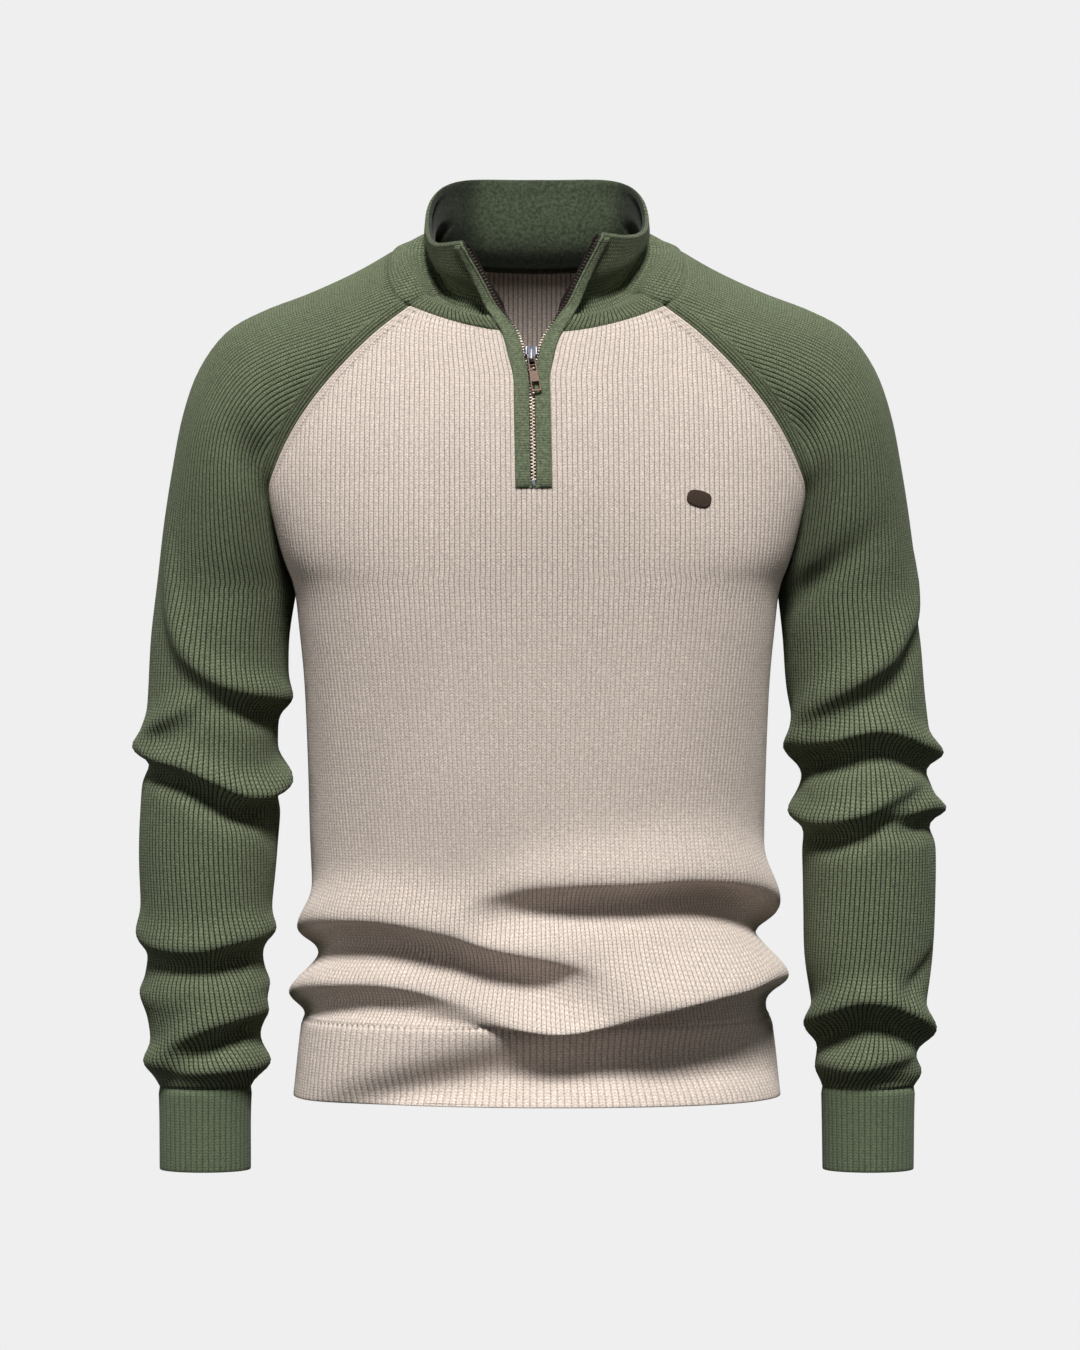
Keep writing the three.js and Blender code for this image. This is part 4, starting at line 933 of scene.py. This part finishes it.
def hemOutline(side):
    def outline(z):
        rows = bodyRows(side, [max(z, -623.0)], [])
        across = np.sin(np.linspace(-math.pi / 2, math.pi / 2, 361)) * -side
        base, _ = bodySurface(side, rows, across)
        line = base[0].copy()
        line[:, 2] = z
        return line

    return outline


def cuffOutline(side):
    def outline(z):
        rings = sleeveRings(side, [min(z, float(cuffSeamZ))], [])
        along = np.linspace(0, 1, 361) if side > 0 else np.linspace(1, 0, 361)
        base, _ = sleeveSurface(side, rings, along)
        line = base[0].copy()
        line[:, 2] = z
        return line

    return outline


hemFront = ribbedBand("hemFront", "hem", hemOutline(-1), hemFolds)
hemBack = ribbedBand("hemBack", "hem", hemOutline(1))
cuffLeft = ribbedBand("cuffLeft", "cuff", cuffOutline(-1))
cuffRight = ribbedBand("cuffRight", "cuff", cuffOutline(1))
print("hem and cuffs made")

# Collar: from the left edge of the zip round the back of the neck to the right edge
collarSizes = {
    "thickness": 3.4, "rimThickness": 5.0, "ribs": 176, "perRib": 3, "ribDepth": 0.8, "rightLift": 6,
    "squareness": 0.85, "proud": 1.1, "rimRows": 7, "innerRows": 20, "tuck": 5.0,
    "crease": {"at": 0.46, "width": 0.15, "depth": 12.5}, "roll": {"at": 0.2, "width": 0.12, "height": 2.2},
}
collarLevels = table(
    "height frontHeight half back front opening",
    [
        [0.2, 0.12, 99, 61.5, 82, 17.5], [0.4, 0.28, 87.5, 60, 76.5, 24], [0.7, 0.62, 85, 62, 79, 36],
        [1, 1, 84, 66, 92, 50],
    ],
)
collarTop = table(
    "angle z",
    [[0, 65.5], [35, 64.5], [55, 59], [70, 50], [84, 37.5], [104, 17], [122, 6.5], [150, 5.5]],
)


def neckline():
    turns = np.linspace(-math.pi / 2, math.pi / 2, 721)
    frontRow = bodySurface(-1, bodyRows(-1, [], [0.0]), np.sin(turns))[0][0]
    backRow = bodySurface(1, bodyRows(1, [], [0.0]), np.sin(turns))[0][0]
    along = np.linspace(0, 1, 361)
    leftTop = sleeveSurface(-1, sleeveRings(-1, [], [0.0]), along)[0][0]
    rightTop = sleeveSurface(1, sleeveRings(1, [], [0.0]), along[::-1])[0][0]
    edges = [slitEdge(np.array([frontRow[360, 2]]), sign)[0] for sign in (-1, 1)]
    leftFront = frontRow[frontRow[:, 0] < edges[0]][::-1]
    rightFront = frontRow[frontRow[:, 0] > edges[1]][::-1]
    return np.concatenate([leftFront, leftTop[1:], backRow[1:], rightTop[1:], rightFront[1:]])


def signedPower(value, power):
    return np.sign(value) * np.abs(value) ** power


def collarSurface(base):
    square = collarSizes["squareness"]
    raw = np.degrees(np.arctan2(base[:, 0] / 108, base[:, 1] / np.where(base[:, 1] > 0, 62, 84)))
    size = np.abs(raw)
    lastAngle = np.where(raw < 0, size[0], size[-1])
    levels = [base]
    for i in range(len(collarLevels["half"])):
        level = {name: values[i] for name, values in collarLevels.items()}
        edgeSine = ((level["opening"] + placketOverhang) / level["half"]) ** (1 / square)
        levelEdge = 180 - math.degrees(math.asin(edgeSine))
        past = np.clip((size - 90) / (lastAngle - 90), 0, 1)
        turned = np.where(size < 90, size, 90 + (levelEdge - 90) * past)
        angle = np.radians(turned * np.sign(raw))
        depth = np.where(np.cos(angle) > 0, level["back"], level["front"])
        lift = np.where(raw > 0, collarSizes["rightLift"] * smoothStep(turned, 90, 125), 0)
        topZ = smoothAt(collarTop["angle"], collarTop["z"], np.minimum(turned, 150)) + lift
        forward = smoothStep(turned, 90, 140)
        share = level["height"] + (level["frontHeight"] - level["height"]) * forward
        x = level["half"] * signedPower(np.sin(angle), square) + zipOpening["middle"][-1] * forward
        y = depth * signedPower(np.cos(angle), square)
        levels.append(np.stack([x, y, base[:, 2] + (topZ - base[:, 2]) * share], -1))
    return np.stack(levels)


def throughLevels(levels, at):
    keys = np.array([0, 0.2, 0.4, 0.7, 1.0])
    flat = levels.reshape(len(levels), -1)
    read = np.stack([smoothAt(keys, flat[:, i], at) for i in range(flat.shape[1])], -1)
    return read.reshape(len(at), *levels.shape[1:])


def collarRows(levels, at, fine):
    sheet = throughLevels(levels, at)
    order = np.arange(sheet.shape[1])
    return np.stack([np.stack([np.interp(fine, order, row[:, i]) for i in range(3)], -1) for row in sheet])


def makeCollar():
    c = collarSizes
    columns = c["ribs"] * c["perRib"] + 1
    coarse = 240
    at = np.concatenate([np.linspace(0, 0.3, 9), np.linspace(0.325, 0.5, 11), np.linspace(0.535, 1, 15)])
    fine = np.linspace(0, coarse - 1, columns)
    sheet = collarRows(collarSurface(evenly(neckline(), coarse)), at, fine)
    out = surfaceNormals(sheet)
    out = out * np.sign(out[5, columns // 2, 1])
    wale = np.arange(columns) / c["perRib"]
    ends = np.minimum(wale, c["ribs"] - wale)
    near = np.exp(-(((wale[:, None] - wale[None, :]) / 6) ** 2))
    out = unit(np.einsum("ij,rjk->rik", near, out))
    frontShare = 1 - smoothStep(ends, 30, 62)
    crease, roll = c["crease"], c["roll"]
    dent = crease["depth"] * np.exp(-(((at - crease["at"]) / crease["width"]) ** 2))
    bulge = roll["height"] * np.exp(-(((at - roll["at"]) / roll["width"]) ** 2))
    sheet = sheet + out * ((bulge - dent)[:, None] * frontShare * smoothStep(ends, 1, 5))[..., None]
    out = surfaceNormals(sheet)
    out = out * np.sign(out[5, columns // 2, 1])
    groove = (np.arange(columns) % c["perRib"] == 0).astype(float)
    edgeMm = ends * 3.0
    thickness = c["thickness"] + (c["rimThickness"] - c["thickness"]) * smoothStep(at, 0.8, 0.97)
    rounded = np.sqrt(np.clip(1 - (1 - np.minimum(edgeMm / 1.8, 1)) ** 2, 0, 1))
    half = thickness[:, None] / 2 * rounded[None, :]
    middle = sheet - out * (thickness[:, None] / 2)[..., None]
    fade = 1 - 0.75 * smoothStep(at, 0.42, 0.8)
    ribHeight = c["ribDepth"] * fade[:, None] * (groove * smoothStep(ends, 3, 4))[None, :]
    proud = c["proud"] * np.exp(-((at / 0.1) ** 2))[:, None] * smoothStep(ends, 3, 5)[None, :]
    outer = middle + out * (half + (proud - ribHeight) * rounded)[..., None]
    inner = middle - out * half[..., None]
    along = unit(sheet[-1] - sheet[-3])
    lip = [
        middle[-1] + (out[-1] * math.cos(t) + along * math.sin(t)) * half[-1][:, None]
        for t in np.linspace(0, math.pi, c["rimRows"] + 2)[1:-1]
    ]
    backRows = np.linspace(len(at) - 1, 0, c["innerRows"]).round().astype(int)
    down = unit(sheet[0] - sheet[2])
    tucked = inner[0] + down * (2.0 + (c["tuck"] - 2.0) * rounded)[:, None]
    tucked = tucked - out[0] * (0.4 * rounded)[:, None]
    under = middle[0] + down * 2.0
    points = np.concatenate([under[None], outer, np.stack(lip), inner[backRows], tucked[None], under[None]])
    rimCourse = 30 + np.arange(c["rimRows"]) * 0.4
    course = np.concatenate([[0], at * 30, rimCourse, at[backRows] * 30, [-2, -1]])[:, None]
    inside = np.zeros((len(points) - 1, columns - 1), int)
    inside[1 + len(at) + c["rimRows"] // 2 :] = 1
    piece = clothGrid("knitCollar", points, wale, course, None, None, inside)
    piece.data.materials.append(finish["sleeveKnit"])
    piece.data.materials.append(finish["collarInside"])
    return piece, sheet, out


collar, collarSheet, collarOut = makeCollar()
print("collar", len(collar.data.polygons))

# Zip: the line along each edge of the opening, from the bottom of the placket to the top of the collar
zipLine = {"rows": 48, "collarFrom": 2, "smoothing": 4}


def zipStations(side):
    dense = np.linspace(0, underarmRow, 901)
    centre = smoothAt(raglanRows["k"], raglanRows["middleFrontZ"], dense)
    heights = np.linspace(placketBottomZ - 0.6, -59.5, zipLine["rows"])
    rows = bodyRows(-1, [], np.interp(heights, centre[::-1], dense[::-1]))
    surface, _ = bodySurface(-1, rows, np.linspace(-0.4, 0.4, 161))
    normals = surfaceNormals(surface)
    edge = slitEdge(heights, side)[:, None]
    beyond = edge + side * 9.8

    def read(values, x):
        return alongRows(values, surface[..., 0], x)[:, 0]

    place, out = read(surface, edge), read(normals, edge)
    away = read(surface, beyond) - place
    column, step = (0, 4) if side < 0 else (-1, -5)
    first = zipLine["collarFrom"]
    place = np.concatenate([place, collarSheet[first:, column]])
    away = np.concatenate([away, collarSheet[first:, step] - collarSheet[first:, column]])
    out = np.concatenate([out, collarOut[first:, step]])
    line = {"place": place, "away": unit(away), "out": unit(out)}
    count = len(place)
    thick = np.where(np.arange(count) < zipLine["rows"], clothThickness, collarSizes["thickness"] + 0.5)
    line["thick"] = np.repeat(thick[:, None], 3, 1)
    for name, values in line.items():
        for _ in range(zipLine["smoothing"]):
            values[1:-1] = (values[:-2] + 2 * values[1:-1] + values[2:]) / 4
    line["away"], line["out"] = unit(line["away"]), unit(line["out"])
    line["thick"] = line["thick"][:, 0]
    line["length"] = np.concatenate([[0], np.cumsum(np.linalg.norm(np.diff(place, axis=0), axis=-1))])
    line["climb"] = unit(np.gradient(place, axis=0))
    line["onCollar"] = smoothStep(np.arange(count), zipLine["rows"] - 2, count - 1)
    return line


zipLines = {"Left": zipStations(-1), "Right": zipStations(1)}


# A closed strip along the zip line: its section gives the distance away from the edge and the height over
# the cloth
def sweepStrip(name, line, side, section, coursePitch, wale):
    if side < 0:
        section, wale = section[:, ::-1], wale[::-1]
    loop = np.concatenate([section, section[:, :1]], 1)
    points = (
        line["place"][:, None]
        + line["away"][:, None] * loop[..., :1]
        + line["out"][:, None] * loop[..., 1:]
    )
    ends = [points[:1].mean(axis=1, keepdims=True), points[-1:].mean(axis=1, keepdims=True)]
    caps = [np.broadcast_to(end, points[:1].shape) for end in ends]
    points = np.concatenate([caps[0], points, caps[1]])
    length = np.concatenate([line["length"][:1], line["length"], line["length"][-1:]])
    return clothGrid(name, points, np.append(wale, wale[0]), (length / coursePitch)[:, None])


placketSection = [
    (-1.4, 0.9), (-1.35, 1.7), (-1.0, 2.25), (-0.4, 2.3), (0.1, 1.95), (0.6, 1.75), (1.1, 2.0), (2.2, 2.2),
    (4.8, 2.3), (7.6, 2.2), (9.0, 2.0), (9.6, 1.5), (9.8, 0.8), (9.4, 0.3), (4.0, 0.3), (-1.0, 0.3),
]
tapeSection = [
    (-2.9, -0.5), (-2.7, -0.3), (2.0, -0.3), (6.8, -0.3), (7.0, -0.7), (6.8, -1.1), (2.0, -1.1),
    (-2.7, -1.1), (-2.9, -0.9),
]


def zipStrips(name, side):
    line = zipLines[name]
    count = len(line["place"])
    narrow = 1 - 0.42 * line["onCollar"]
    section = np.array(placketSection)
    placket = np.broadcast_to(section, (count, *section.shape)).copy()
    across = placket[..., 0]
    placket[..., 0] = np.where(across > 1, 1 + (across - 1) * narrow[:, None], across)
    height = line["place"][:, 2]
    placket[..., 1] *= 0.4 + 0.6 * smoothStep(height, placketBottomZ - 0.6, placketBottomZ + 5)[:, None]
    foot = (height < placketBottomZ + 2.2)[:, None]
    placket[..., 0] = np.where(foot & (placket[..., 0] < 1), placket[..., 0] - 2.05, placket[..., 0])
    strip = sweepStrip("placket" + name, line, side, placket, 1.9, np.full(len(section), 0.5))
    strip.data.materials.append(finish["placketRibbon"])
    section = np.array(tapeSection)
    tape = np.broadcast_to(section, (count, *section.shape)).copy()
    tape[..., 1] -= line["thick"][:, None]
    strip = sweepStrip("zipTape" + name, line, side, tape, 0.7, section[:, 0] / 0.9)
    strip.data.materials.append(finish["zipTapeWeave"])


for name, side in (("Left", -1), ("Right", 1)):
    zipStrips(name, side)


# Metal parts are boxes and plates with rounded edges
def bevelEdges(bm, edges, offset):
    bmesh.ops.bevel(
        bm, geom=edges, offset=offset, offset_type="OFFSET", segments=2, profile=0.5, affect="EDGES",
        clamp_overlap=True, material=-1,
    )


def roundEdges(bm, verts, offset):
    bevelEdges(bm, list({edge for vert in verts for edge in vert.link_edges}), offset)


def boxPart(bm, size, centre, offset):
    part = bmesh.new()
    verts = bmesh.ops.create_cube(part, size=1)["verts"]
    for vert in verts:
        vert.co = Vector(centre) + Vector(a * b for a, b in zip(vert.co, size))
    roundEdges(part, verts, offset)
    appendPart(bm, part)


def platePart(bm, corners, low, high, offset):
    part = bmesh.new()
    verts = bmesh.ops.create_circle(part, segments=len(corners), radius=1, cap_ends=True)["verts"]
    for vert, (x, y) in zip(verts, corners):
        vert.co = (x, y, low)
    face = part.faces[:]
    raised = bmesh.ops.extrude_face_region(part, geom=face)["geom"]
    for item in raised:
        if isinstance(item, bmesh.types.BMVert):
            item.co.z = high
    bmesh.ops.recalc_face_normals(part, faces=part.faces)
    roundEdges(part, part.verts[:], offset)
    appendPart(bm, part)


def appendPart(bm, part, matrix=None):
    mesh = bpy.data.meshes.new("part")
    part.to_mesh(mesh)
    part.free()
    if matrix is not None:
        mesh.transform(matrix)
    bm.from_mesh(mesh)
    bpy.data.meshes.remove(mesh)


def inMetres(bm, matrix=None):
    bmesh.ops.transform(bm, matrix=Matrix.Scale(mm, 4) @ (matrix or Matrix.Identity(4)), verts=bm.verts)


tooth = {
    "pitch": 2.5, "along": 1.05, "from": -3.7, "to": -1.6, "low": -1.7, "high": 0.95, "round": 0.28,
    "firstZ": -169.5, "endGap": 2.5,
}


def onLine(line, key, at):
    return np.array([np.interp(at, line["length"], line[key][:, i]) for i in range(3)])


def zipTeeth(name, side):
    line = zipLines[name]
    start = np.interp(tooth["firstZ"], line["place"][:, 2], line["length"])
    if side > 0:
        start = start + tooth["pitch"] / 2
    places = np.arange(start, line["length"][-1] - tooth["endGap"], tooth["pitch"])
    size = (tooth["to"] - tooth["from"], tooth["along"], tooth["high"] - tooth["low"])
    single = bmesh.new()
    middle = ((tooth["to"] + tooth["from"]) / 2, 0, (tooth["high"] + tooth["low"]) / 2)
    boxPart(single, size, middle, tooth["round"])
    mesh = bpy.data.meshes.new("tooth")
    single.to_mesh(mesh)
    single.free()
    bm = bmesh.new()
    for at in places:
        place, away, out = (onLine(line, key, at) for key in ("place", "away", "out"))
        away = unit(away - out * (away @ out))
        climb = np.cross(out, away)
        matrix = Matrix(np.column_stack([away, climb, out, place]).tolist() + [[0, 0, 0, 1]])
        moved = mesh.copy()
        moved.transform(matrix)
        bm.from_mesh(moved)
        bpy.data.meshes.remove(moved)
    inMetres(bm)
    teeth = meshObject("teeth" + name, bm)
    teeth.data.materials.append(finish["teethMetal"])


for name, side in (("Left", -1), ("Right", 1)):
    zipTeeth(name, side)

# Slider and pull tab, in a frame on the chain: y runs up the zip and z out of the cloth
hardware = Matrix(
    ((1, 0, 0, -4.121), (0, 0.4616, -0.8871, -95.707), (0, 0.8871, 0.4616, -77.502), (0, 0, 0, 1))
)
slider = {
    "shoulder": 5.2, "waist": 3.3, "length": 13.5, "plate": 1.3, "frontFace": 2.4, "backFace": -3.8,
    "pivotY": -4.6, "pivotZ": 5.6, "roof": 6.75,
}


def makeSlider():
    bm = bmesh.new()
    top = slider["length"] / 2
    wide, narrow = slider["shoulder"], slider["waist"]
    right = [
        (narrow - 0.6, -top),
        (narrow, -top + 0.8),
        (narrow, -top * 0.2),
        (wide - 0.3, top * 0.4),
        (wide, top * 0.62),
        (wide - 0.2, top * 0.85),
        (wide - 1.3, top),
    ]
    corners = right + [(-x, y) for x, y in reversed(right)]
    for low in (slider["frontFace"], slider["backFace"] - slider["plate"]):
        platePart(bm, corners, low, low + slider["plate"], 0.35)
    for side in (-1, 1):
        boxPart(bm, (2.0, 7.4, 1.7), (side * 3.65, 2.4, slider["frontFace"] + 1.45), 0.6)
        boxPart(bm, (1.2, 5.6, 1.3), (side * 2.5, -3.4, slider["frontFace"] + 1.35), 0.45)
    boxPart(bm, (1.7, 3.0, 6.0), (0, top - 1.6, -0.7), 0.4)
    foot, roof, at = slider["frontFace"] + 1.0, slider["roof"], slider["pivotY"]
    boxPart(bm, (1.6, 1.0, roof - foot + 0.8), (0, at - 1.6, (roof + foot) / 2 + 0.3), 0.35)
    boxPart(bm, (1.6, 5.6, roof - foot + 0.6), (0, at + 4.4, (roof + foot) / 2), 0.5)
    boxPart(bm, (1.6, 6.6, 1.1), (0, at + 1.2, roof + 0.45), 0.45)
    bmesh.ops.recalc_face_normals(bm, faces=bm.faces)
    # Painted shade: faces up to the top of the front plate, towards the cloth, take the darker copy of the
    # slider metal
    for face in bm.faces:
        face.material_index = int(face.calc_center_median().z < slider["frontFace"] + slider["plate"] + 0.1)
    inMetres(bm, hardware)
    piece = meshObject("zipSlider", bm)
    piece.data.materials.append(finish["sliderMetal"])
    piece.data.materials.append(finish["sliderShade"])


def makeStop():
    line = zipLines["Left"]
    bm = bmesh.new()
    boxPart(bm, (2.6, 5.2, 1.1), (0, 0, 1.4), 0.45)
    ends = []
    for strip in zipLines.values():
        at = np.interp(placketBottomZ + 3, strip["place"][:, 2], strip["length"])
        ends.append(onLine(strip, "place", at))
    climb, out = line["climb"][2], line["out"][2]
    across = np.cross(climb, out)
    matrix = Matrix(np.column_stack([across, climb, out, (ends[0] + ends[1]) / 2]).tolist() + [[0, 0, 0, 1]])
    inMetres(bm, matrix)
    piece = meshObject("zipStop", bm)
    piece.data.materials.append(finish["sliderMetal"])


pullTab = {
    "rows": [
        (0.6, 2.7, 1.75), (-0.6, 2.95, 1.75), (-5.5, 3.1, 1.75), (-6.7, 3.2, 1.75), (-10.8, 3.35, 1.8),
        (-11.8, 3.4, 2.1), (-18.8, 3.65, 2.3), (-19.8, 3.7, 2.4), (-25.6, 3.85, 2.4), (-27.0, 3.85, 2.4),
        (-27.6, 3.2, 2.0),
    ],
    "holes": [1, 3, 7], "thickness": 1.2, "tilt": 8.5, "lean": 4.5, "bevel": 0.28,
}


def makePull():
    rows = pullTab["rows"]
    bm = bmesh.new()
    bmesh.ops.create_grid(bm, x_segments=3, y_segments=len(rows) - 1, size=1)
    bm.verts.ensure_lookup_table()
    bm.faces.ensure_lookup_table()
    for r, (y, outer, inner) in enumerate(rows[::-1]):
        for c, x in enumerate((-outer, -inner, inner, outer)):
            bm.verts[r * 4 + c].co = (x, y, -pullTab["thickness"] / 2)
    holes = [bm.faces[(len(rows) - 2 - r) * 3 + 1] for r in pullTab["holes"]]
    bmesh.ops.delete(bm, geom=holes, context="FACES")
    raised = bmesh.ops.extrude_face_region(bm, geom=bm.faces[:])["geom"]
    for item in raised:
        if isinstance(item, bmesh.types.BMVert):
            item.co.z = pullTab["thickness"] / 2
    bmesh.ops.recalc_face_normals(bm, faces=bm.faces)
    sharp = [edge for edge in bm.edges if len(edge.link_faces) == 2 and edge.calc_face_angle() > 0.6]
    bevelEdges(bm, sharp, pullTab["bevel"])
    hang = (
        Matrix.Translation((0, slider["pivotY"], slider["pivotZ"]))
        @ Matrix.Rotation(math.radians(pullTab["lean"]), 4, "X")
        @ Matrix.Rotation(math.radians(pullTab["tilt"]), 4, "Z")
    )
    inMetres(bm, hardware @ hang)
    piece = meshObject("zipPull", bm)
    piece.data.materials.append(finish["pullMetal"])


makeSlider()
makeStop()
makePull()
print("zip made")

# Plain stitched tab on the chest
patch = {
    "x": 117.5, "z": -182, "halfWidth": 9, "halfHeight": 6, "tilt": -14, "square": 0.72, "thread": 0.85,
    "topRings": 14,
}


def frontPlace(x, z):
    _, base, _ = dense["body", -1]
    normals = facing["body", -1]
    rows = np.array([[np.interp(x, row[:, 0], row[:, i]) for i in range(3)] for row in base])
    pairs = zip(base, normals)
    facingRows = np.array([[np.interp(x, row[:, 0], n[:, i]) for i in range(3)] for row, n in pairs])
    keep = np.argsort(rows[:, 2])
    y = np.interp(z, rows[keep, 2], rows[keep, 1])
    return y, unit(np.array([np.interp(z, rows[keep, 2], facingRows[keep, i]) for i in range(3)]))


def makePatch():
    tilt = math.radians(patch["tilt"])
    out = frontPlace(patch["x"], patch["z"])[1]
    radii = np.concatenate([np.linspace(0.02, 1, patch["topRings"]), np.linspace(1, 0.02, 4)])
    crown = 0.7 + 1.0 * (1 - radii**4) + 0.45 * np.exp(-(((radii - 0.88) / 0.07) ** 2))
    top = np.where(np.arange(len(radii)) < patch["topRings"], crown, 0.3)
    turns = np.linspace(0, math.tau, 65)
    u = radii[:, None] * signedPower(np.cos(turns), patch["square"])[None, :] * patch["halfWidth"]
    v = radii[:, None] * signedPower(np.sin(turns), patch["square"])[None, :] * patch["halfHeight"]
    x = patch["x"] + u * math.cos(tilt) - v * math.sin(tilt)
    z = patch["z"] + u * math.sin(tilt) + v * math.cos(tilt)
    xs = np.linspace(x.min() - 1, x.max() + 1, 7)
    depth = np.array([[frontPlace(a, b)[0] for a in xs] for b in np.linspace(z.min() - 1, z.max() + 1, 5)])
    column = np.interp(x, xs, np.arange(7))
    row = (z - z.min() + 1) / (z.max() - z.min() + 2) * 4
    c0, r0 = np.minimum(column.astype(int), 5), np.minimum(row.astype(int), 3)
    fc, fr = column - c0, row - r0
    y = (
        depth[r0, c0] * (1 - fc) * (1 - fr) + depth[r0, c0 + 1] * fc * (1 - fr)
        + depth[r0 + 1, c0] * (1 - fc) * fr + depth[r0 + 1, c0 + 1] * fc * fr
    )
    points = np.stack([x, y, z], -1) + out * top[:, None, None]
    piece = clothGrid("chestTab", points[:, ::-1], (u / patch["thread"])[:, ::-1], (v / 2.2)[:, ::-1])
    piece.data.materials.append(finish["patchThread"])


makePatch()

for piece, material in (
    (front, "bodyKnit"), (back, "bodyKnit"), (hemFront, "hemKnit"), (hemBack, "hemKnit"),
    (sleeveLeft, "sleeveKnit"), (sleeveRight, "sleeveKnit"), (cuffLeft, "cuffKnit"), (cuffRight, "cuffKnit"),
):
    piece.data.materials.append(finish[material])


# Backdrop: a pale bowl round the object, seen by the camera only, and soft light
def addStage():
    bowl = {"floorZ": -1150, "flatRadius": 4600, "bend": 1800, "height": 4500}
    rise = np.linspace(0, math.pi / 2, 11)
    bend = bowl["flatRadius"] + bowl["bend"] * np.sin(rise)
    radius = np.concatenate([[0], bend, [bowl["flatRadius"] + bowl["bend"]]])
    level = np.concatenate([[0], bowl["bend"] * (1 - np.cos(rise)), [bowl["height"]]]) + bowl["floorZ"]
    turns = np.linspace(0, math.tau, 65)
    x, y = radius[:, None] * np.cos(turns), radius[:, None] * np.sin(turns)
    z = np.repeat(level[:, None], len(turns), 1)
    floor = clothGrid("paleBackdrop", np.stack([x, y, z], -1), 0, 0)
    paper = bpy.data.materials.new("palePaper")
    paper.use_nodes = True
    shader = paper.node_tree.nodes["Principled BSDF"]
    shader.inputs["Base Color"].default_value = (0, 0, 0, 1)
    shader.inputs["Specular IOR Level"].default_value = 0
    shader.inputs["Emission Color"].default_value = colour(239, 239, 239)
    shader.inputs["Emission Strength"].default_value = 1.0
    floor.data.materials.append(paper)
    floor.visible_diffuse = False
    floor.visible_glossy = False
    floor.visible_transmission = False
    floor.visible_shadow = False


def addLight(name, at, aim, size, watts):
    light = bpy.data.lights.new(name, "AREA")
    light.shape = "RECTANGLE"
    light.size, light.size_y = size
    light.energy = watts
    holder = bpy.data.objects.new(name, light)
    holder.location = at
    holder.rotation_euler = (Vector(aim) - Vector(at)).to_track_quat("-Z", "Y").to_euler()
    bpy.context.scene.collection.objects.link(holder)


def addSun(name, turn, height, softness, strength):
    sun = bpy.data.lights.new(name, "SUN")
    sun.energy = strength
    sun.angle = math.radians(softness)
    holder = bpy.data.objects.new(name, sun)
    turn, height = math.radians(turn), math.radians(height)
    come = Vector((math.sin(turn) * math.cos(height), -math.cos(turn) * math.cos(height), math.sin(height)))
    holder.rotation_euler = (-come).to_track_quat("-Z", "Y").to_euler()
    bpy.context.scene.collection.objects.link(holder)


def addLights():
    addSun("keyLight", 4, 52, 16, 4.0)
    addLight("frontFill", (-0.2, -3.0, 0.2), (0, 0, -0.35), (1.6, 1.6), 1.5)
    addSun("leftFill", -68, 5, 20, 0.4)
    addSun("rightFill", 68, 5, 20, 0.2)
    addSun("backFill", 170, 40, 30, 0.9)
    world = bpy.data.worlds.new("studio")
    world.use_nodes = True
    world.node_tree.nodes["Background"].inputs[0].default_value = (1, 1, 1, 1)
    world.node_tree.nodes["Background"].inputs[1].default_value = 0.045
    bpy.context.scene.world = world
    bpy.context.scene.view_settings.view_transform = "Standard"


addStage()
addLights()

# What each piece is, stands for and rides on
cloth = {
    "knitFront": {"node": "front", "slot": "body_knit", "flat": (0.49, 0.54), "area": 0.24},
    "knitBack": {"node": "back", "slot": "body_knit", "flat": (0.49, 0.6), "area": 0.25},
    "hemFront": {"node": "hem_front", "slot": "body_knit", "flat": (0.49, 0.06)},
    "hemBack": {"node": "hem_back", "slot": "body_knit", "flat": (0.48, 0.06)},
    "knitSleeveLeft": {"node": "sleeve_left", "slot": "sleeve_knit", "flat": (0.37, 0.72), "area": 0.2},
    "knitSleeveRight": {"node": "sleeve_right", "slot": "sleeve_knit", "flat": (0.37, 0.72), "area": 0.2},
    "cuffLeft": {"node": "cuff_left", "slot": "sleeve_knit", "flat": (0.2, 0.065)},
    "cuffRight": {"node": "cuff_right", "slot": "sleeve_knit", "flat": (0.2, 0.065)},
    "knitCollar": {"node": "collar", "slot": "sleeve_knit", "flat": (0.53, 0.078), "area": 0.038},
    "placketLeft": {"node": "placket_left", "slot": "placket_tape", "flat": (0.012, 0.26)},
    "placketRight": {"node": "placket_right", "slot": "placket_tape", "flat": (0.012, 0.26)},
    "zipTapeLeft": {"node": "zip_tape_left", "slot": "zip_tape", "flat": (0.0101, 0.235)},
    "zipTapeRight": {"node": "zip_tape_right", "slot": "zip_tape", "flat": (0.0101, 0.235)},
    "chestTab": {"node": "patch", "slot": "patch", "flat": (0.018, 0.012)},
}
metal = {
    "teethLeft": {"node": "zip_teeth_left", "slot": "zip_teeth", "body": "garment"},
    "teethRight": {"node": "zip_teeth_right", "slot": "zip_teeth", "body": "garment"},
    "zipSlider": {"node": "zip_slider", "slot": "zip_slider", "body": "garment"},
    "zipStop": {"node": "zip_stop", "slot": "zip_slider", "body": "garment"},
    "zipPull": {"node": "zip_pull", "slot": "zip_pull", "body": "pull_tab"},
}
for name, facts in cloth.items():
    piece = bpy.data.objects[name]
    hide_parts(facts["node"])
    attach(piece, "garment")
for name, facts in metal.items():
    piece = bpy.data.objects[name]
    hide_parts(facts["node"])
    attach(piece, facts["body"])
